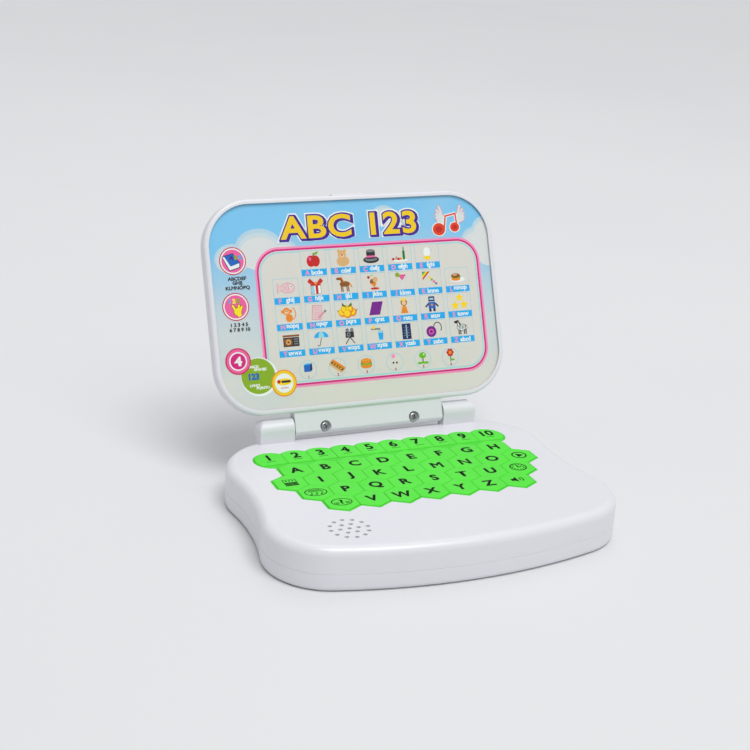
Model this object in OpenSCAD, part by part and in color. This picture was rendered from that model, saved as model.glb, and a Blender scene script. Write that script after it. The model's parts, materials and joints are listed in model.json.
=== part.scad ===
// Toy laptop computer, a clamshell learning toy.
//
// The base holds a keypad of 42 sprung keys, a circuit board, a speaker, a slide switch
// and three AA cells. The lid holds a printed card behind a clear window, and turns on
// two short pins that sit in lugs at the back of the base.
//
// Millimetres. +X is to the right, +Y to the back and +Z up. The origin is under the
// middle of the base, on the plane that it stands on. The lid is drawn open, at the lean
// it rests at.

/* [Base] */
// Half of the width over the back corners
back_half_w = 99.5; // [98:0.5:101]
// Half of the width over the front corners, the widest place
front_half_w = 104; // [103:0.5:105]
// Plan radius of the back corners
back_corner_r = 38; // [36:0.5:40]
// Plan radius of the front corners
front_corner_r = 36; // [34:0.5:38]
// Plan radius of the hollow waist between the corners
waist_r = 155; // [150:1:160]
// How far round the back corner the waist begins
waist_angle = 7.4; // [7:0.1:8]
// Plan radius of the bowed front edge
front_edge_r = 300; // [280:5:320]
// Height of the flat top above the table
base_top_z = 25; // [25:0.5:26]
// Height of the seam between the two covers
seam_z = 10; // [9.5:0.5:10.5]
// Thickness of the covers
wall = 2; // [1.8:0.1:2.2]
// Rounding of the top edge
top_edge_r = 5; // [4:0.5:5.5]
// Rounding of the bottom edge
bottom_edge_r = 3; // [2:0.5:3]

/* [Keypad] */
// Distance between neighbouring letter keys
key_pitch = 18; // [17.8:0.1:18.2]
// Distance between neighbouring number keys
number_pitch = 15.4; // [15.2:0.1:15.6]
// Radius of the round number keys
number_key_r = 10.2; // [10:0.1:10.4]
// Sideways shift of the row of number keys
number_row_x = -1.8; // [-2:0.1:2]
// Gap between neighbouring keys
key_gap = 0.3; // [0.25:0.05:0.4]
// Width of the flush border round the keys
key_border = 1; // [0.9:0.1:1.2]
// Height of a key cap
key_h = 2.4; // [2.2:0.1:2.6]
// How far the keys stand above the top
key_rise = 0.4; // [0.3:0.1:0.5]
// How far a key goes down
key_travel = 0.6; // [0.5:0.1:0.7]

/* [Lid] */
// Width of the lid
lid_w = 188; // [186:1:190]
// Height of the lid panel
lid_h = 127.7; // [126:0.1:129]
// Thickness of the lid panel
lid_t = 9; // [8.5:0.1:9.5]
// Corner radius of the lid panel
lid_corner_r = 29; // [26:1:31]
// Width of the rim round the window
lid_rim = 3; // [2.8:0.1:3.4]
// Lean of the open lid, back from upright
lid_lean = 22.65; // [10:0.05:35]
// Width of the finger tab on the lid's far edge
tab_w = 20; // [16:1:24]

/* [Hinge] */
// Height of the hinge axis above the flat top
hinge_rise = 7; // [7:0.1:7.2]
// Distance from the hinge axis to the lid's lower edge
lid_foot = 8.3; // [8.3:0.1:9]
// Radius of the round lugs on the base
lug_r = 6; // [5.8:0.1:6.2]
// Radius of the lid's hinge barrel
barrel_r = 5.9; // [5.7:0.1:6]
// Half of the width of the barrel
barrel_half_w = 48.2; // [47:0.1:48.3]
// Outer end of each lug, from the middle
lug_outer_x = 70.3; // [69.5:0.1:71]
// Diameter of the hinge pins
pin_d = 4; // [3.8:0.1:4.2]

/* [Electrics] */
// Diameter of an AA cell
cell_d = 14.2; // [14:0.1:14.4]
// Length of an AA cell without its nub
cell_len = 49; // [48.8:0.1:49.2]
// Diameter of the speaker
speaker_d = 29; // [27:1:29]
// Diameter of each hole of the speaker grille
grille_hole_d = 2.4; // [2:0.1:2.6]
// Distance between grille holes
grille_pitch = 5.2; // [5:0.1:5.4]
// Travel of the power switch
switch_travel = 4; // [3:0.5:4]

/* [Hidden] */
$fn = 48;
eps = 0.01;
fit = 0.3;

// Places in the base, worked back from its rear edge.
back_centre_x = back_half_w - back_corner_r;
waist_centre_x = back_centre_x + (back_corner_r + waist_r) * cos(waist_angle);
front_centre_x = front_half_w - front_corner_r;
waist_to_front = acos((waist_centre_x - front_centre_x) / (waist_r + front_corner_r));
front_angle = -acos(front_centre_x / (front_edge_r - front_corner_r));
waist_drop = (back_corner_r + waist_r) * sin(waist_angle);
front_drop = (waist_r + front_corner_r) * sin(waist_to_front);
front_bow = (front_edge_r - front_corner_r) * sin(front_angle);
base_depth = back_corner_r + waist_drop + front_drop + front_bow + front_edge_r;
back_y = base_depth / 2;
back_centre = [back_centre_x, back_y - back_corner_r];
waist_centre = [waist_centre_x, back_centre.y - waist_drop];
front_centre = [front_centre_x, waist_centre.y - front_drop];
front_edge_centre = [0, front_centre.y - front_bow];

// Keypad places and levels.
key_row_step = key_pitch * sqrt(3) / 2;
letter_row_y = back_y - 47.7;
number_row_y = letter_row_y + 17;
letter_rows = 4;
top_row_letters = 8;
cover_under_z = base_top_z - wall;
key_top_z = base_top_z + key_rise;
key_bottom_z = key_top_z - key_h;
mat_top_z = key_bottom_z - key_travel - fit;
mat_t = 1;
board_top_z = mat_top_z - mat_t;
board_t = 1.6;
board_half_w = 83;
board_front_y = letter_row_y - 59;
board_back_y = letter_row_y + 35;

// Hinge and lid places. The lid is drawn flat, with its hinge axis on X and its face up,
// and then turned about that axis.
hinge_y = back_y - 2.1;
hinge_z = base_top_z + hinge_rise;
lug_inner_x = barrel_half_w + 0.6;
lid_face = hinge_rise - 0.4;
lid_back = lid_face - lid_t;
lid_middle = lid_foot + lid_h / 2;
barrel_flat = lid_face - 1.6;
lip_t = 0.9;
window_t = 0.65;
card_t = 0.35;
card_gap = 0.05;
card_inset = 2.1;
window_face = lid_face - lip_t - card_gap;
card_face = window_face - window_t - card_gap;
pin_inner_x = 36;
pin_outer_x = 66;
lid_corner_steps = 16;

// Screws: the same self-tapping screw is used all over the toy.
screw_d = 2.8;
screw_head_d = 5.4;
screw_head_h = 1.8;
screw_len = 10;
lid_screw_at = [29, -1.5];
lid_screw_seat = barrel_flat - 2.4;
case_screws_at = [[87.5, 57.5], [89, -6], [88, -50]];
board_screws_at = [[74, 61.5], [76, -23]];
post_top_z = 11;
case_screw_seat_z = 7;

// Battery bay, in the bottom cover.
bay_x = [-8, 51];
bay_y = [-69, -22];
bay_wall = 1.5;
bay_roof_z = 18.6;
bay_roof_t = 1.2;
cell_pitch = cell_d + 1;
cell_z = wall + 0.6 + cell_d / 2;
door_recess = 0.3;
door_t = wall - door_recess;
door_axis = [bay_y[1] - 1.3, door_recess + door_t / 2];
door_pin_r = 0.6;

// Speaker and switch.
speaker_at = [-62, -47];
speaker_h = 10;
switch_y = waist_centre.y;
switch_z = 15;
switch_wall_x = waist_centre_x - waist_r;
switch_x = switch_wall_x - wall - 7.5;
switch_half_h = 3.5;

NUMBER_KEYS = [for (i = [1:10]) str("key_", i)];
LETTER_KEYS = [for (i = [0:25]) str("key_", chr(97 + i))];
ICON_KEYS = [for (side = ["left", "right"]) for (i = [1:3]) str("key_", side, "_", i)];

// ---------------------------------------------------------------- outlines and lofts

// Points along an arc, without its last point, so that arcs can be joined end to end.
function arc(centre, r, from, to, steps) =
    [for (i = [0:steps - 1]) let (a = from + (to - from) * i / steps) centre + r * [cos(a), sin(a)]];

// Right half of the base in plan, from the middle of the back edge round to the front.
function base_half(inset) = concat(
    arc(back_centre, back_corner_r - inset, 90, -waist_angle, 20),
    arc(waist_centre, waist_r + inset, 180 - waist_angle, 180 + waist_to_front, 10),
    arc(front_centre, front_corner_r - inset, waist_to_front, front_angle, 20),
    arc(front_edge_centre, front_edge_r - inset, front_angle, -90, 8)
);

function mirrored(points) = [for (i = [len(points) - 1:-1:0]) [-points[i].x, points[i].y]];

// The whole base in plan, moved in by an inset.
function base_points(inset) = let (right = base_half(inset))
    concat(right, [[0, front_edge_centre.y - front_edge_r + inset]], mirrored(right));

// A rectangle with round corners about the middle of the lid, moved in by an inset.
function lid_points(inset) =
    let (r = lid_corner_r - inset, x = lid_w / 2 - lid_corner_r, y = lid_h / 2 - lid_corner_r)
    [for (corner = [[1, 1, 90], [1, -1, 0], [-1, -1, -90], [-1, 1, -180]])
        for (i = [0:lid_corner_steps])
            let (a = corner[2] - 90 * i / lid_corner_steps)
            [corner[0] * x + r * cos(a), lid_middle + corner[1] * y + r * sin(a)]];

// Levels, each [height, inset], that round the upper or the lower edge of a loft.
function upper_round(z, r, steps = 5) =
    [for (i = [0:steps]) let (a = 90 * i / steps) [z - r + r * sin(a), r * (1 - cos(a))]];
function lower_round(z, r, steps = 4) =
    [for (i = [0:steps]) let (a = 90 * (1 - i / steps)) [z + r - r * sin(a), r * (1 - cos(a))]];

// A solid skinned over rings of points, one ring for each height in heights.
module loft(rings, heights) {
    count = len(rings[0]);
    last = len(rings) - 1;
    points = [for (k = [0:last]) for (p = rings[k]) [p.x, p.y, heights[k]]];
    sides = [for (k = [0:last - 1]) for (i = [0:count - 1])
        let (j = (i + 1) % count, low = k * count, high = low + count)
        [low + i, low + j, high + j, high + i]];
    floor_face = [for (i = [count - 1:-1:0]) i];
    top_face = [for (i = [0:count - 1]) last * count + i];
    polyhedron(points = points, faces = concat([floor_face], sides, [top_face]), convexity = 4);
}

module base_loft(levels) {
    loft([for (level = levels) base_points(level[1])], [for (level = levels) level[0]]);
}

module lid_loft(levels) {
    loft([for (level = levels) lid_points(level[1])], [for (level = levels) level[0]]);
}

// A tube swept along points, for bent wire. The first and last points are its ends.
module wire(points, r, sides = 6) {
    last = len(points) - 1;
    function heading(k) = let (d = points[min(k + 1, last)] - points[max(k - 1, 0)]) d / norm(d);
    rings = [for (k = [0:last])
        let (t = heading(k), helper = abs(t.z) < 0.8 ? [0, 0, 1] : [1, 0, 0],
             u = cross(helper, t) / norm(cross(helper, t)), v = cross(t, u))
        for (i = [0:sides - 1])
            let (a = -360 * i / sides) points[k] + r * (u * cos(a) + v * sin(a))];
    sides_faces = [for (k = [0:last - 1]) for (i = [0:sides - 1])
        let (j = (i + 1) % sides, low = k * sides, high = low + sides)
        [low + i, low + j, high + j, high + i]];
    start_face = [for (i = [sides - 1:-1:0]) i];
    end_face = [for (i = [0:sides - 1]) last * sides + i];
    polyhedron(points = rings, faces = concat([start_face], sides_faces, [end_face]), convexity = 4);
}

// Points of a smooth curve that leaves a towards b, and arrives at d from c.
function curve(a, b, c, d, steps = 12) = [for (i = [0:steps]) let (t = i / steps, s = 1 - t)
    s * s * s * a + 3 * s * s * t * b + 3 * s * t * t * c + t * t * t * d];

module both_sides() {
    children();
    mirror([1, 0, 0]) children();
}

module screw() {
    translate([0, 0, -screw_head_h]) cylinder(d = screw_head_d, h = screw_head_h);
    cylinder(d = screw_d, h = screw_len - 1.2);
    translate([0, 0, screw_len - 1.2]) cylinder(d1 = screw_d, d2 = 1, h = 1.2);
}

// ---------------------------------------------------------------- keypad layout

// Every key is [name, is it a number key, place].
KEYS = concat(
    [for (i = [0:9]) [NUMBER_KEYS[i], true, [number_row_x + (i - 4.5) * number_pitch, number_row_y]]],
    [for (row = [0:letter_rows - 1])
        let (letters = top_row_letters - row, first = top_row_letters * row - row * (row - 1) / 2)
        for (i = [0:letters - 1])
            [LETTER_KEYS[first + i], false, letter_place(row, i - (letters - 1) / 2)]],
    [for (side = [-1, 1]) for (row = [1:letter_rows - 1])
        [ICON_KEYS[row - 1 + (side > 0 ? 3 : 0)], false,
         letter_place(row, side * (top_row_letters - row + 1) / 2)]]
);

function letter_place(row, column) = [column * key_pitch, letter_row_y - row * key_row_step];

module hexagon(across_flats) {
    rotate(30) circle(r = across_flats / sqrt(3), $fn = 6);
}

// Outline of one key cap, grown by a margin. A number key is round, and cut straight
// where it meets its neighbours and the row of letters below it.
module key_shape(key, grow = 0) {
    if (!key[1]) {
        translate(key[2]) hexagon(key_pitch - key_gap + 2 * grow);
    } else {
        is_first = key[0] == NUMBER_KEYS[0];
        is_last = key[0] == NUMBER_KEYS[9];
        half = (number_pitch - key_gap) / 2 + grow;
        beyond = number_key_r + grow + 1;
        left = is_first ? beyond : half;
        right = is_last ? beyond : half;
        low = number_row_y - letter_row_y - key_pitch / sqrt(3) - key_gap + grow;
        translate(key[2]) intersection() {
            circle(r = number_key_r + grow);
            translate([-left, -low]) square([left + right, low + beyond]);
        }
    }
}

// The whole keypad's outline, grown by a margin.
module keypad_shape(grow) {
    for (key = KEYS) {
        translate(key[2]) {
            if (key[1]) circle(r = number_key_r + grow);
            else hexagon(key_pitch + 2 * grow);
        }
    }
    half_row = key_pitch * (top_row_letters - 1) / 2;
    translate([-half_row, letter_row_y]) square([2 * half_row, number_row_y - letter_row_y]);
}

module key_cap(key) {
    color("limegreen")
    translate([0, 0, key_bottom_z]) linear_extrude(key_h) key_shape(key);
}

module board_outline(inset = 0) {
    r = 8;
    for (x = [-1, 1]) for (y = [board_front_y + r, board_back_y - r]) {
        translate([x * (board_half_w - r), y]) circle(r = r - inset);
    }
    translate([-board_half_w + r, board_front_y + inset])
        square([2 * (board_half_w - r), board_back_y - board_front_y - 2 * inset]);
    translate([-board_half_w + inset, board_front_y + r])
        square([2 * (board_half_w - inset), board_back_y - board_front_y - 2 * r]);
}

// The rubbery sheet under the keys, with a border that stands flush round them.
module keypad_mat() {
    color("limegreen") difference() {
        union() {
            translate([0, 0, board_top_z]) linear_extrude(cover_under_z - board_top_z) board_outline();
            translate([0, 0, board_top_z + mat_t / 2]) linear_extrude(base_top_z - board_top_z - mat_t / 2)
                keypad_shape(key_border - 0.1);
        }
        translate([0, 0, mat_top_z]) linear_extrude(base_top_z) {
            for (key = KEYS) key_shape(key, key_gap);
        }
        both_sides() for (at = board_screws_at) {
            translate([at.x, at.y, board_top_z - 1]) cylinder(d = 6.6, h = 6);
        }
    }
}

// ---------------------------------------------------------------- base covers

module lug_profile() {
    circle(r = lug_r);
    translate([-lug_r, -hinge_rise - 4]) square([lug_r + 2.1, hinge_rise + 4]);
}

// One of the two round lugs that hold the hinge pins, with its outer corner rounded.
module lug() {
    corner = 5;
    length = lug_outer_x - lug_inner_x;
    translate([lug_inner_x, hinge_y, hinge_z]) intersection() {
        rotate([90, 0, 90]) linear_extrude(length) lug_profile();
        union() {
            translate([0, -10, -15]) cube([length, 20, 15 + lug_r - corner]);
            translate([0, -10, -15]) cube([length - corner, 20, 15 + lug_r]);
            translate([length - corner, 10, lug_r - corner]) rotate([90, 0, 0])
                cylinder(r = corner, h = 20);
        }
    }
}

module speaker_grille() {
    for (ring = [0:2]) {
        for (i = [0:max(0, 6 * ring - 1)]) {
            a = ring == 0 ? 0 : 360 * i / (6 * ring);
            hole = speaker_at + ring * grille_pitch * [cos(a), sin(a)];
            translate([hole.x, hole.y, base_top_z - 4]) cylinder(d = grille_hole_d, h = 8);
        }
    }
}

module boss(at, top, bottom, d) {
    translate([at.x, at.y, bottom]) cylinder(d = d, h = top - bottom);
}

module base_top_cover() {
    color("white") difference() {
        union() {
            difference() {
                base_loft(concat([[seam_z, 0]], upper_round(base_top_z, top_edge_r)));
                base_loft([[seam_z - 1, wall], [base_top_z - top_edge_r, wall],
                           [cover_under_z, wall + top_edge_r - 2]]);
            }
            both_sides() {
                lug();
                for (at = case_screws_at) boss(at, cover_under_z + 1, post_top_z, 7);
                for (at = board_screws_at) boss(at, cover_under_z + 1, board_top_z, 6);
            }
            translate([speaker_at.x, speaker_at.y, cover_under_z - 4]) difference() {
                cylinder(d = speaker_d + 4, h = 5);
                translate([0, 0, -1]) cylinder(d = speaker_d + 0.4, h = 5.01);
            }
        }
        translate([0, 0, cover_under_z - 8]) linear_extrude(20) keypad_shape(key_border);
        speaker_grille();
        both_sides() {
            for (at = case_screws_at) {
                translate([at.x, at.y, post_top_z - 1]) cylinder(d = screw_d + 0.06, h = screw_len);
            }
            for (at = board_screws_at) {
                translate([at.x, at.y, board_top_z - 1]) cylinder(d = screw_d + 0.06, h = 3.6);
            }
            translate([lug_inner_x - 1, hinge_y, hinge_z]) rotate([0, 90, 0])
                cylinder(d = pin_d + 0.12, h = pin_outer_x - lug_inner_x + 1.5);
        }
        // Trough under the lid's barrel, between the lugs.
        translate([-lug_inner_x, hinge_y, hinge_z]) rotate([0, 90, 0])
            cylinder(r = barrel_r + 2, h = 2 * lug_inner_x);
        // Slot for the power switch.
        translate([switch_wall_x - 6, switch_y - switch_travel / 2 - 3, switch_z - 2])
            cube([12, switch_travel + 6, 4]);
    }
}

module battery_bay_block() {
    translate([bay_x[0] - bay_wall, bay_y[0] - bay_wall, wall - eps])
        cube([bay_x[1] - bay_x[0] + 2 * bay_wall, bay_y[1] - bay_y[0] + 2 * bay_wall, bay_roof_z - wall]);
}

module battery_bay_space() {
    size = [bay_x[1] - bay_x[0], bay_y[1] - bay_y[0]];
    translate([bay_x[0], bay_y[0], wall]) cube([size.x, size.y, bay_roof_z - bay_roof_t - wall]);
    // The doorway under the bay leaves a ledge on three sides.
    translate([bay_x[0] + 1, bay_y[0] + 1, -1]) cube([size.x - 2, size.y - 1, wall + 2]);
    // Holes for the door's two hinge stubs.
    translate([bay_x[0] - 1, door_axis[0], door_axis[1]]) rotate([0, 90, 0])
        cylinder(r = door_pin_r + 0.06, h = size.x + 2);
}

module base_bottom_cover() {
    color("white") difference() {
        union() {
            difference() {
                base_loft(concat(lower_round(0, bottom_edge_r), [[seam_z, 0]]));
                base_loft([[wall, wall + bottom_edge_r / 2], [wall + 1.5, wall], [seam_z + 1, wall]]);
            }
            battery_bay_block();
            both_sides() for (at = case_screws_at) boss(at, post_top_z, wall - 1, 8.4);
            // Rest for the switch.
            translate([switch_x, switch_y - 5, wall - 1])
                cube([6, 10, switch_z - switch_half_h - wall + 1]);
        }
        battery_bay_space();
        both_sides() for (at = case_screws_at) {
            translate([at.x, at.y, -1]) cylinder(d = screw_head_d + 1, h = case_screw_seat_z + 1);
            translate([at.x, at.y, 0]) cylinder(d = screw_d + 0.4, h = post_top_z + 1);
        }
    }
}

// The door swings down about two stubs at its back edge.
module battery_door() {
    x0 = bay_x[0] + 1 + fit;
    x1 = bay_x[1] - 1 - fit;
    y0 = bay_y[0] + 1 + fit;
    color("white") difference() {
        union() {
            translate([x0, y0, door_recess]) cube([x1 - x0, door_axis[0] - y0, door_t]);
            translate([x0, door_axis[0], door_axis[1]]) rotate([0, 90, 0])
                cylinder(r = door_t / 2, h = x1 - x0);
            translate([x0 - 1.6, door_axis[0], door_axis[1]]) rotate([0, 90, 0])
                cylinder(r = door_pin_r, h = x1 - x0 + 3.2);
        }
        // Three grip grooves.
        for (i = [0:2]) {
            translate([(x0 + x1) / 2 - 8, y0 + 4 + 2.4 * i, door_recess - 0.4]) cube([16, 1.2, 1]);
        }
    }
}

// ---------------------------------------------------------------- electrics

module battery_cell() {
    rotate([0, 90, 0]) {
        cylinder(d = cell_d, h = cell_len);
        translate([0, 0, cell_len - eps]) cylinder(d = 5.4, h = 1.2);
    }
}

// Each cell stands the other way round from its neighbours.
module at_each_cell() {
    middle = [(bay_x[0] + bay_x[1]) / 2, (bay_y[0] + bay_y[1]) / 2, cell_z];
    for (i = [-1:1]) {
        translate(middle + [0, i * cell_pitch, 0]) rotate(i == 0 ? 180 : 0) children();
    }
}

module batteries() {
    color("dimgray") at_each_cell() translate([-cell_len / 2, 0, 0]) battery_cell();
}

// A flat plate meets each cell's nub, and a conical spring meets its other end.
module battery_contacts() {
    end_x = (bay_x[1] - bay_x[0]) / 2;
    spring_turns = 4;
    spring_len = end_x - cell_len / 2 - 0.6;
    spring = [for (i = [0:spring_turns * 10])
        let (t = i / (spring_turns * 10), a = 360 * spring_turns * t, r = 5 - 2.2 * t)
        [-end_x + 0.75 + t * (spring_len - 0.75), r * cos(a), r * sin(a)]];
    color("silver") at_each_cell() {
        translate([end_x - 0.5, -4.5, -5]) cube([0.5, 9, 10]);
        translate([-end_x, -6, -6]) cube([0.5, 12, 12]);
        wire(spring, 0.4, 5);
    }
}

module circuit_board() {
    color("darkgreen") difference() {
        union() {
            translate([0, 0, board_top_z - board_t]) linear_extrude(board_t) board_outline(1);
            // Sound chip under its blob, two capacitors, a resonator and two packaged chips.
            translate([-40, 12, board_top_z - board_t - 1.6]) cylinder(d = 14, h = 2);
            for (x = [-66, -58]) translate([x, 34, board_top_z - board_t - 7]) cylinder(d = 5, h = 8);
            translate([-20, 30, board_top_z - board_t - 3.4]) cube([10, 4, 4]);
            for (x = [4, 30]) translate([x, 20, board_top_z - board_t - 1.8]) cube([12, 8, 2]);
        }
        both_sides() for (at = board_screws_at) {
            translate([at.x, at.y, board_top_z - board_t - 1]) cylinder(d = screw_d + 0.4, h = board_t + 2);
        }
    }
}

module speaker() {
    r = speaker_d / 2;
    color("dimgray") translate([speaker_at.x, speaker_at.y, cover_under_z]) mirror([0, 0, 1]) rotate_extrude()
        polygon([[0, 3], [5, 3], [r - 2.5, 0.8], [r - 2.5, 0], [r, 0], [r, 1.4], [r - 2, 2.4], [8.5, 5.5],
                 [8.5, speaker_h], [0, speaker_h]]);
}

module switch_body() {
    color("silver") difference() {
        union() {
            translate([switch_x, switch_y - 7, switch_z - switch_half_h]) cube([7, 14, 2 * switch_half_h]);
            for (y = [-3, 0, 3]) {
                translate([switch_x - 2.5, switch_y + y - 0.4, switch_z - 0.5]) cube([3, 0.8, 1]);
            }
        }
        translate([switch_x + 3, switch_y - switch_travel / 2 - 2.7, switch_z - 2])
            cube([5, switch_travel + 5.4, 4]);
    }
}

// The slider is drawn at its off end.
module switch_slider() {
    inner_x = switch_x + 3.4;
    color("dimgray") translate([inner_x, switch_y - switch_travel / 2 - 2.2, switch_z - 1.6])
        cube([switch_wall_x + 1.6 - inner_x, 4.4, 3.2]);
}

module case_screws() {
    color("silver") both_sides() {
        for (at = case_screws_at) translate([at.x, at.y, case_screw_seat_z]) screw();
        for (at = board_screws_at) {
            translate([at.x, at.y, board_top_z - board_t]) mirror([0, 0, 1]) {
                cylinder(d = screw_head_d, h = screw_head_h);
                translate([0, 0, -3.8]) cylinder(d = screw_d, h = 4);
            }
        }
    }
}

// Two wires run from the bay and two from the speaker to the board. Their cut ends stop
// just short of what they are soldered to.
module hookup_wires() {
    r = 0.7;
    short = 0.3;
    board_z = board_top_z - board_t - short;
    color("firebrick") {
        for (i = [0:1]) {
            bay_end = [bay_x[0] - bay_wall - short, -58 + 22 * i, 12];
            bay_tab = [-30 + 5 * i, -8, board_z];
            wire(curve(bay_end, bay_end + [-16, 0, 0], bay_tab - [0, 0, 11], bay_tab), r);
            away = [cos(75 - 30 * i), sin(75 - 30 * i), 0];
            magnet = [speaker_at.x, speaker_at.y, cover_under_z - speaker_h + 1.5];
            magnet_side = magnet + (8.5 + short) * away;
            speaker_tab = [-50 + 4 * i, -14, board_z];
            wire(curve(magnet_side, magnet_side + 9 * away, speaker_tab - [0, 0, 9], speaker_tab), r);
        }
    }
}

// ---------------------------------------------------------------- lid

module lid_pose() {
    translate([0, hinge_y, hinge_z]) rotate([90 - lid_lean, 0, 0]) children();
}

// Section through the hinge barrel and the tongue that joins it to the panel.
module barrel_profile() {
    intersection() {
        union() {
            circle(r = barrel_r);
            translate([0, lid_back]) square([lid_foot + 1, barrel_flat - lid_back]);
        }
        translate([-10, -10]) square([30, 10 + barrel_flat]);
    }
}

module barrel() {
    rotate([90, 0, 90]) translate([0, 0, -barrel_half_w]) linear_extrude(2 * barrel_half_w) barrel_profile();
}

module half_space(front) {
    size = 400;
    translate([-size / 2, -size / 2, front ? 0 : -size]) cube(size);
}

// A shallow tab on the far edge, between two depths.
module finger_tab(from, to) {
    translate([-tab_w / 2, lid_foot + lid_h - 1.5, from]) cube([tab_w, 2.7, to - from]);
}

module pin_bores() {
    both_sides() translate([pin_inner_x - 0.2, 0, 0]) rotate([0, 90, 0]) cylinder(d = pin_d + 0.04, h = 20);
}

module lid_front_frame() {
    color("white") lid_pose() difference() {
        union() {
            difference() {
                lid_loft(concat([[0, 0]], upper_round(lid_face, 1.8)));
                lid_loft([[-1, 1.8], [lid_face - lip_t, 1.8]]);
                lid_loft([[-1, lid_rim], [lid_face + 1, lid_rim]]);
            }
            intersection() {
                barrel();
                half_space(true);
            }
            finger_tab(0, 3);
        }
        pin_bores();
        both_sides() translate(lid_screw_at) {
            translate([0, 0, lid_screw_seat]) cylinder(d = 7, h = 5);
            translate([0, 0, -1]) cylinder(d = screw_d + 0.4, h = 5);
        }
    }
}

module lid_rear_cover() {
    rib_top = card_face - card_t - card_gap;
    rib_h = rib_top - lid_back - 1;
    color("white") lid_pose() difference() {
        union() {
            difference() {
                lid_loft(concat(lower_round(lid_back, 2), [[0, 0]]));
                lid_loft([[lid_back + 1.8, 1.8], [1, 1.8]]);
            }
            // Ribs that hold the card against the window.
            for (x = [-70, -24, 24, 70]) {
                translate([x - 0.6, lid_foot + 12, lid_back + 1]) cube([1.2, lid_h - 20, rib_h]);
            }
            for (v = [0.3, 0.72]) {
                translate([-88, lid_foot + lid_h * v, lid_back + 1]) cube([176, 1.2, rib_h]);
            }
            intersection() {
                barrel();
                half_space(false);
            }
            finger_tab(lid_back + 1, 0);
        }
        pin_bores();
        both_sides() translate([lid_screw_at.x, lid_screw_at.y, -barrel_r + 1])
            cylinder(d = screw_d + 0.06, h = barrel_r);
    }
}

module lid_sheet(face, thickness) {
    lid_pose() lid_loft([[face - thickness, card_inset], [face, card_inset]]);
}

module display_card() {
    color("lightskyblue") lid_sheet(card_face, card_t);
}

module display_window() {
    color([0.9, 0.95, 1, 0.3]) lid_sheet(window_face, window_t);
}

module hinge_pins() {
    color("silver") translate([0, hinge_y, hinge_z]) both_sides() {
        translate([pin_inner_x, 0, 0]) rotate([0, 90, 0]) cylinder(d = pin_d, h = pin_outer_x - pin_inner_x);
    }
}

module lid_screws() {
    color("silver") lid_pose() both_sides() translate([lid_screw_at.x, lid_screw_at.y, lid_screw_seat]) {
        difference() {
            cylinder(d = screw_head_d, h = screw_head_h);
            for (turn = [0, 90]) rotate(turn) translate([-1.6, -0.4, screw_head_h - 0.8]) cube([3.2, 0.8, 2]);
        }
        translate([0, 0, -6.5]) cylinder(d = screw_d, h = 7);
    }
}

// ---------------------------------------------------------------- assembly

base_top_cover();
base_bottom_cover();
battery_door();
batteries();
battery_contacts();
circuit_board();
keypad_mat();
speaker();
switch_body();
switch_slider();
case_screws();
hookup_wires();
lid_front_frame();
lid_rear_cover();
display_card();
display_window();
hinge_pins();
lid_screws();
for (key = KEYS) key_cap(key);
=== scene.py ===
"""Toy laptop computer: the looks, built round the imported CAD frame. All lengths are in metres."""

import json
import math

import bmesh
import bpy
from mathutils import Matrix, Vector


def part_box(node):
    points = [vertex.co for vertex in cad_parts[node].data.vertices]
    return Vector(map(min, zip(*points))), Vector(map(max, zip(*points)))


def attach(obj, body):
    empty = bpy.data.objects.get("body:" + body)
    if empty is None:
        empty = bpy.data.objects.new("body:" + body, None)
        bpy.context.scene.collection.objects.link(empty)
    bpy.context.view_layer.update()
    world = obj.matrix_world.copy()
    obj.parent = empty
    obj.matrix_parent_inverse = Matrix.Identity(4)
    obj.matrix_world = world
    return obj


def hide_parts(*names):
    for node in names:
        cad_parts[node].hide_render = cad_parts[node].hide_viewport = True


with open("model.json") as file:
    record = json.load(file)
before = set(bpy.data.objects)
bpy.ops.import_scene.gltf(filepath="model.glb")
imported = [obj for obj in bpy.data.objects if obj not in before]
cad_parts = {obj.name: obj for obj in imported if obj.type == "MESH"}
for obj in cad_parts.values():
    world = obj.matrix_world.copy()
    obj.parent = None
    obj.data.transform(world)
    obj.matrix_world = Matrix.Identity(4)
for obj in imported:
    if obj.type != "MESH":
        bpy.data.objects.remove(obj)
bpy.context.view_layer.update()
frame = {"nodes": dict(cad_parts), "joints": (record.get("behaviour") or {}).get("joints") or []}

MM = 0.001
SEGMENTS = 48


# ---------------- frame places


def lid_matrix():
    """Places the flat lid: X to the right, Y up the lid from the hinge axis, Z out of its face."""
    hinge = next(joint for joint in frame["joints"] if joint["name"] == "lid_hinge")
    closed_turn = -hinge["range_deg"][0]
    lean = closed_turn - 90
    return Matrix.Translation(hinge["pos_m"]) @ Matrix.Rotation(math.radians(90 - lean), 4, "X")


LID = lid_matrix()
LEVEL = Matrix.Identity(4)


def cad_mesh(node):
    return frame["nodes"][node].data


def cad_solid(node):
    """An edit mesh of a CAD node, with its corners welded."""
    solid = bmesh.new()
    solid.from_mesh(cad_mesh(node))
    bmesh.ops.remove_doubles(solid, verts=solid.verts, dist=1e-6)
    return solid


def box_of(verts, matrix):
    """Lowest and highest corner of some vertices, in the axes that a matrix gives."""
    inverse = matrix.inverted()
    points = [inverse @ vert.co for vert in verts]
    return [Vector([limit(p[i] for p in points) for i in range(3)]) for limit in (min, max)]


def islands(node, matrix=LEVEL):
    """The box of each separate solid in a CAD node, from left to right."""
    solid = cad_solid(node)
    left = set(solid.verts)
    boxes = []
    while left:
        reached = [left.pop()]
        for vert in reached:
            for edge in vert.link_edges:
                other = edge.other_vert(vert)
                if other in left:
                    left.remove(other)
                    reached.append(other)
        boxes.append(box_of(reached, matrix))
    solid.free()
    return sorted(boxes, key=lambda box: (round(box[0].x, 4), round(box[0].y, 4)))


# ---------------- materials


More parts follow.
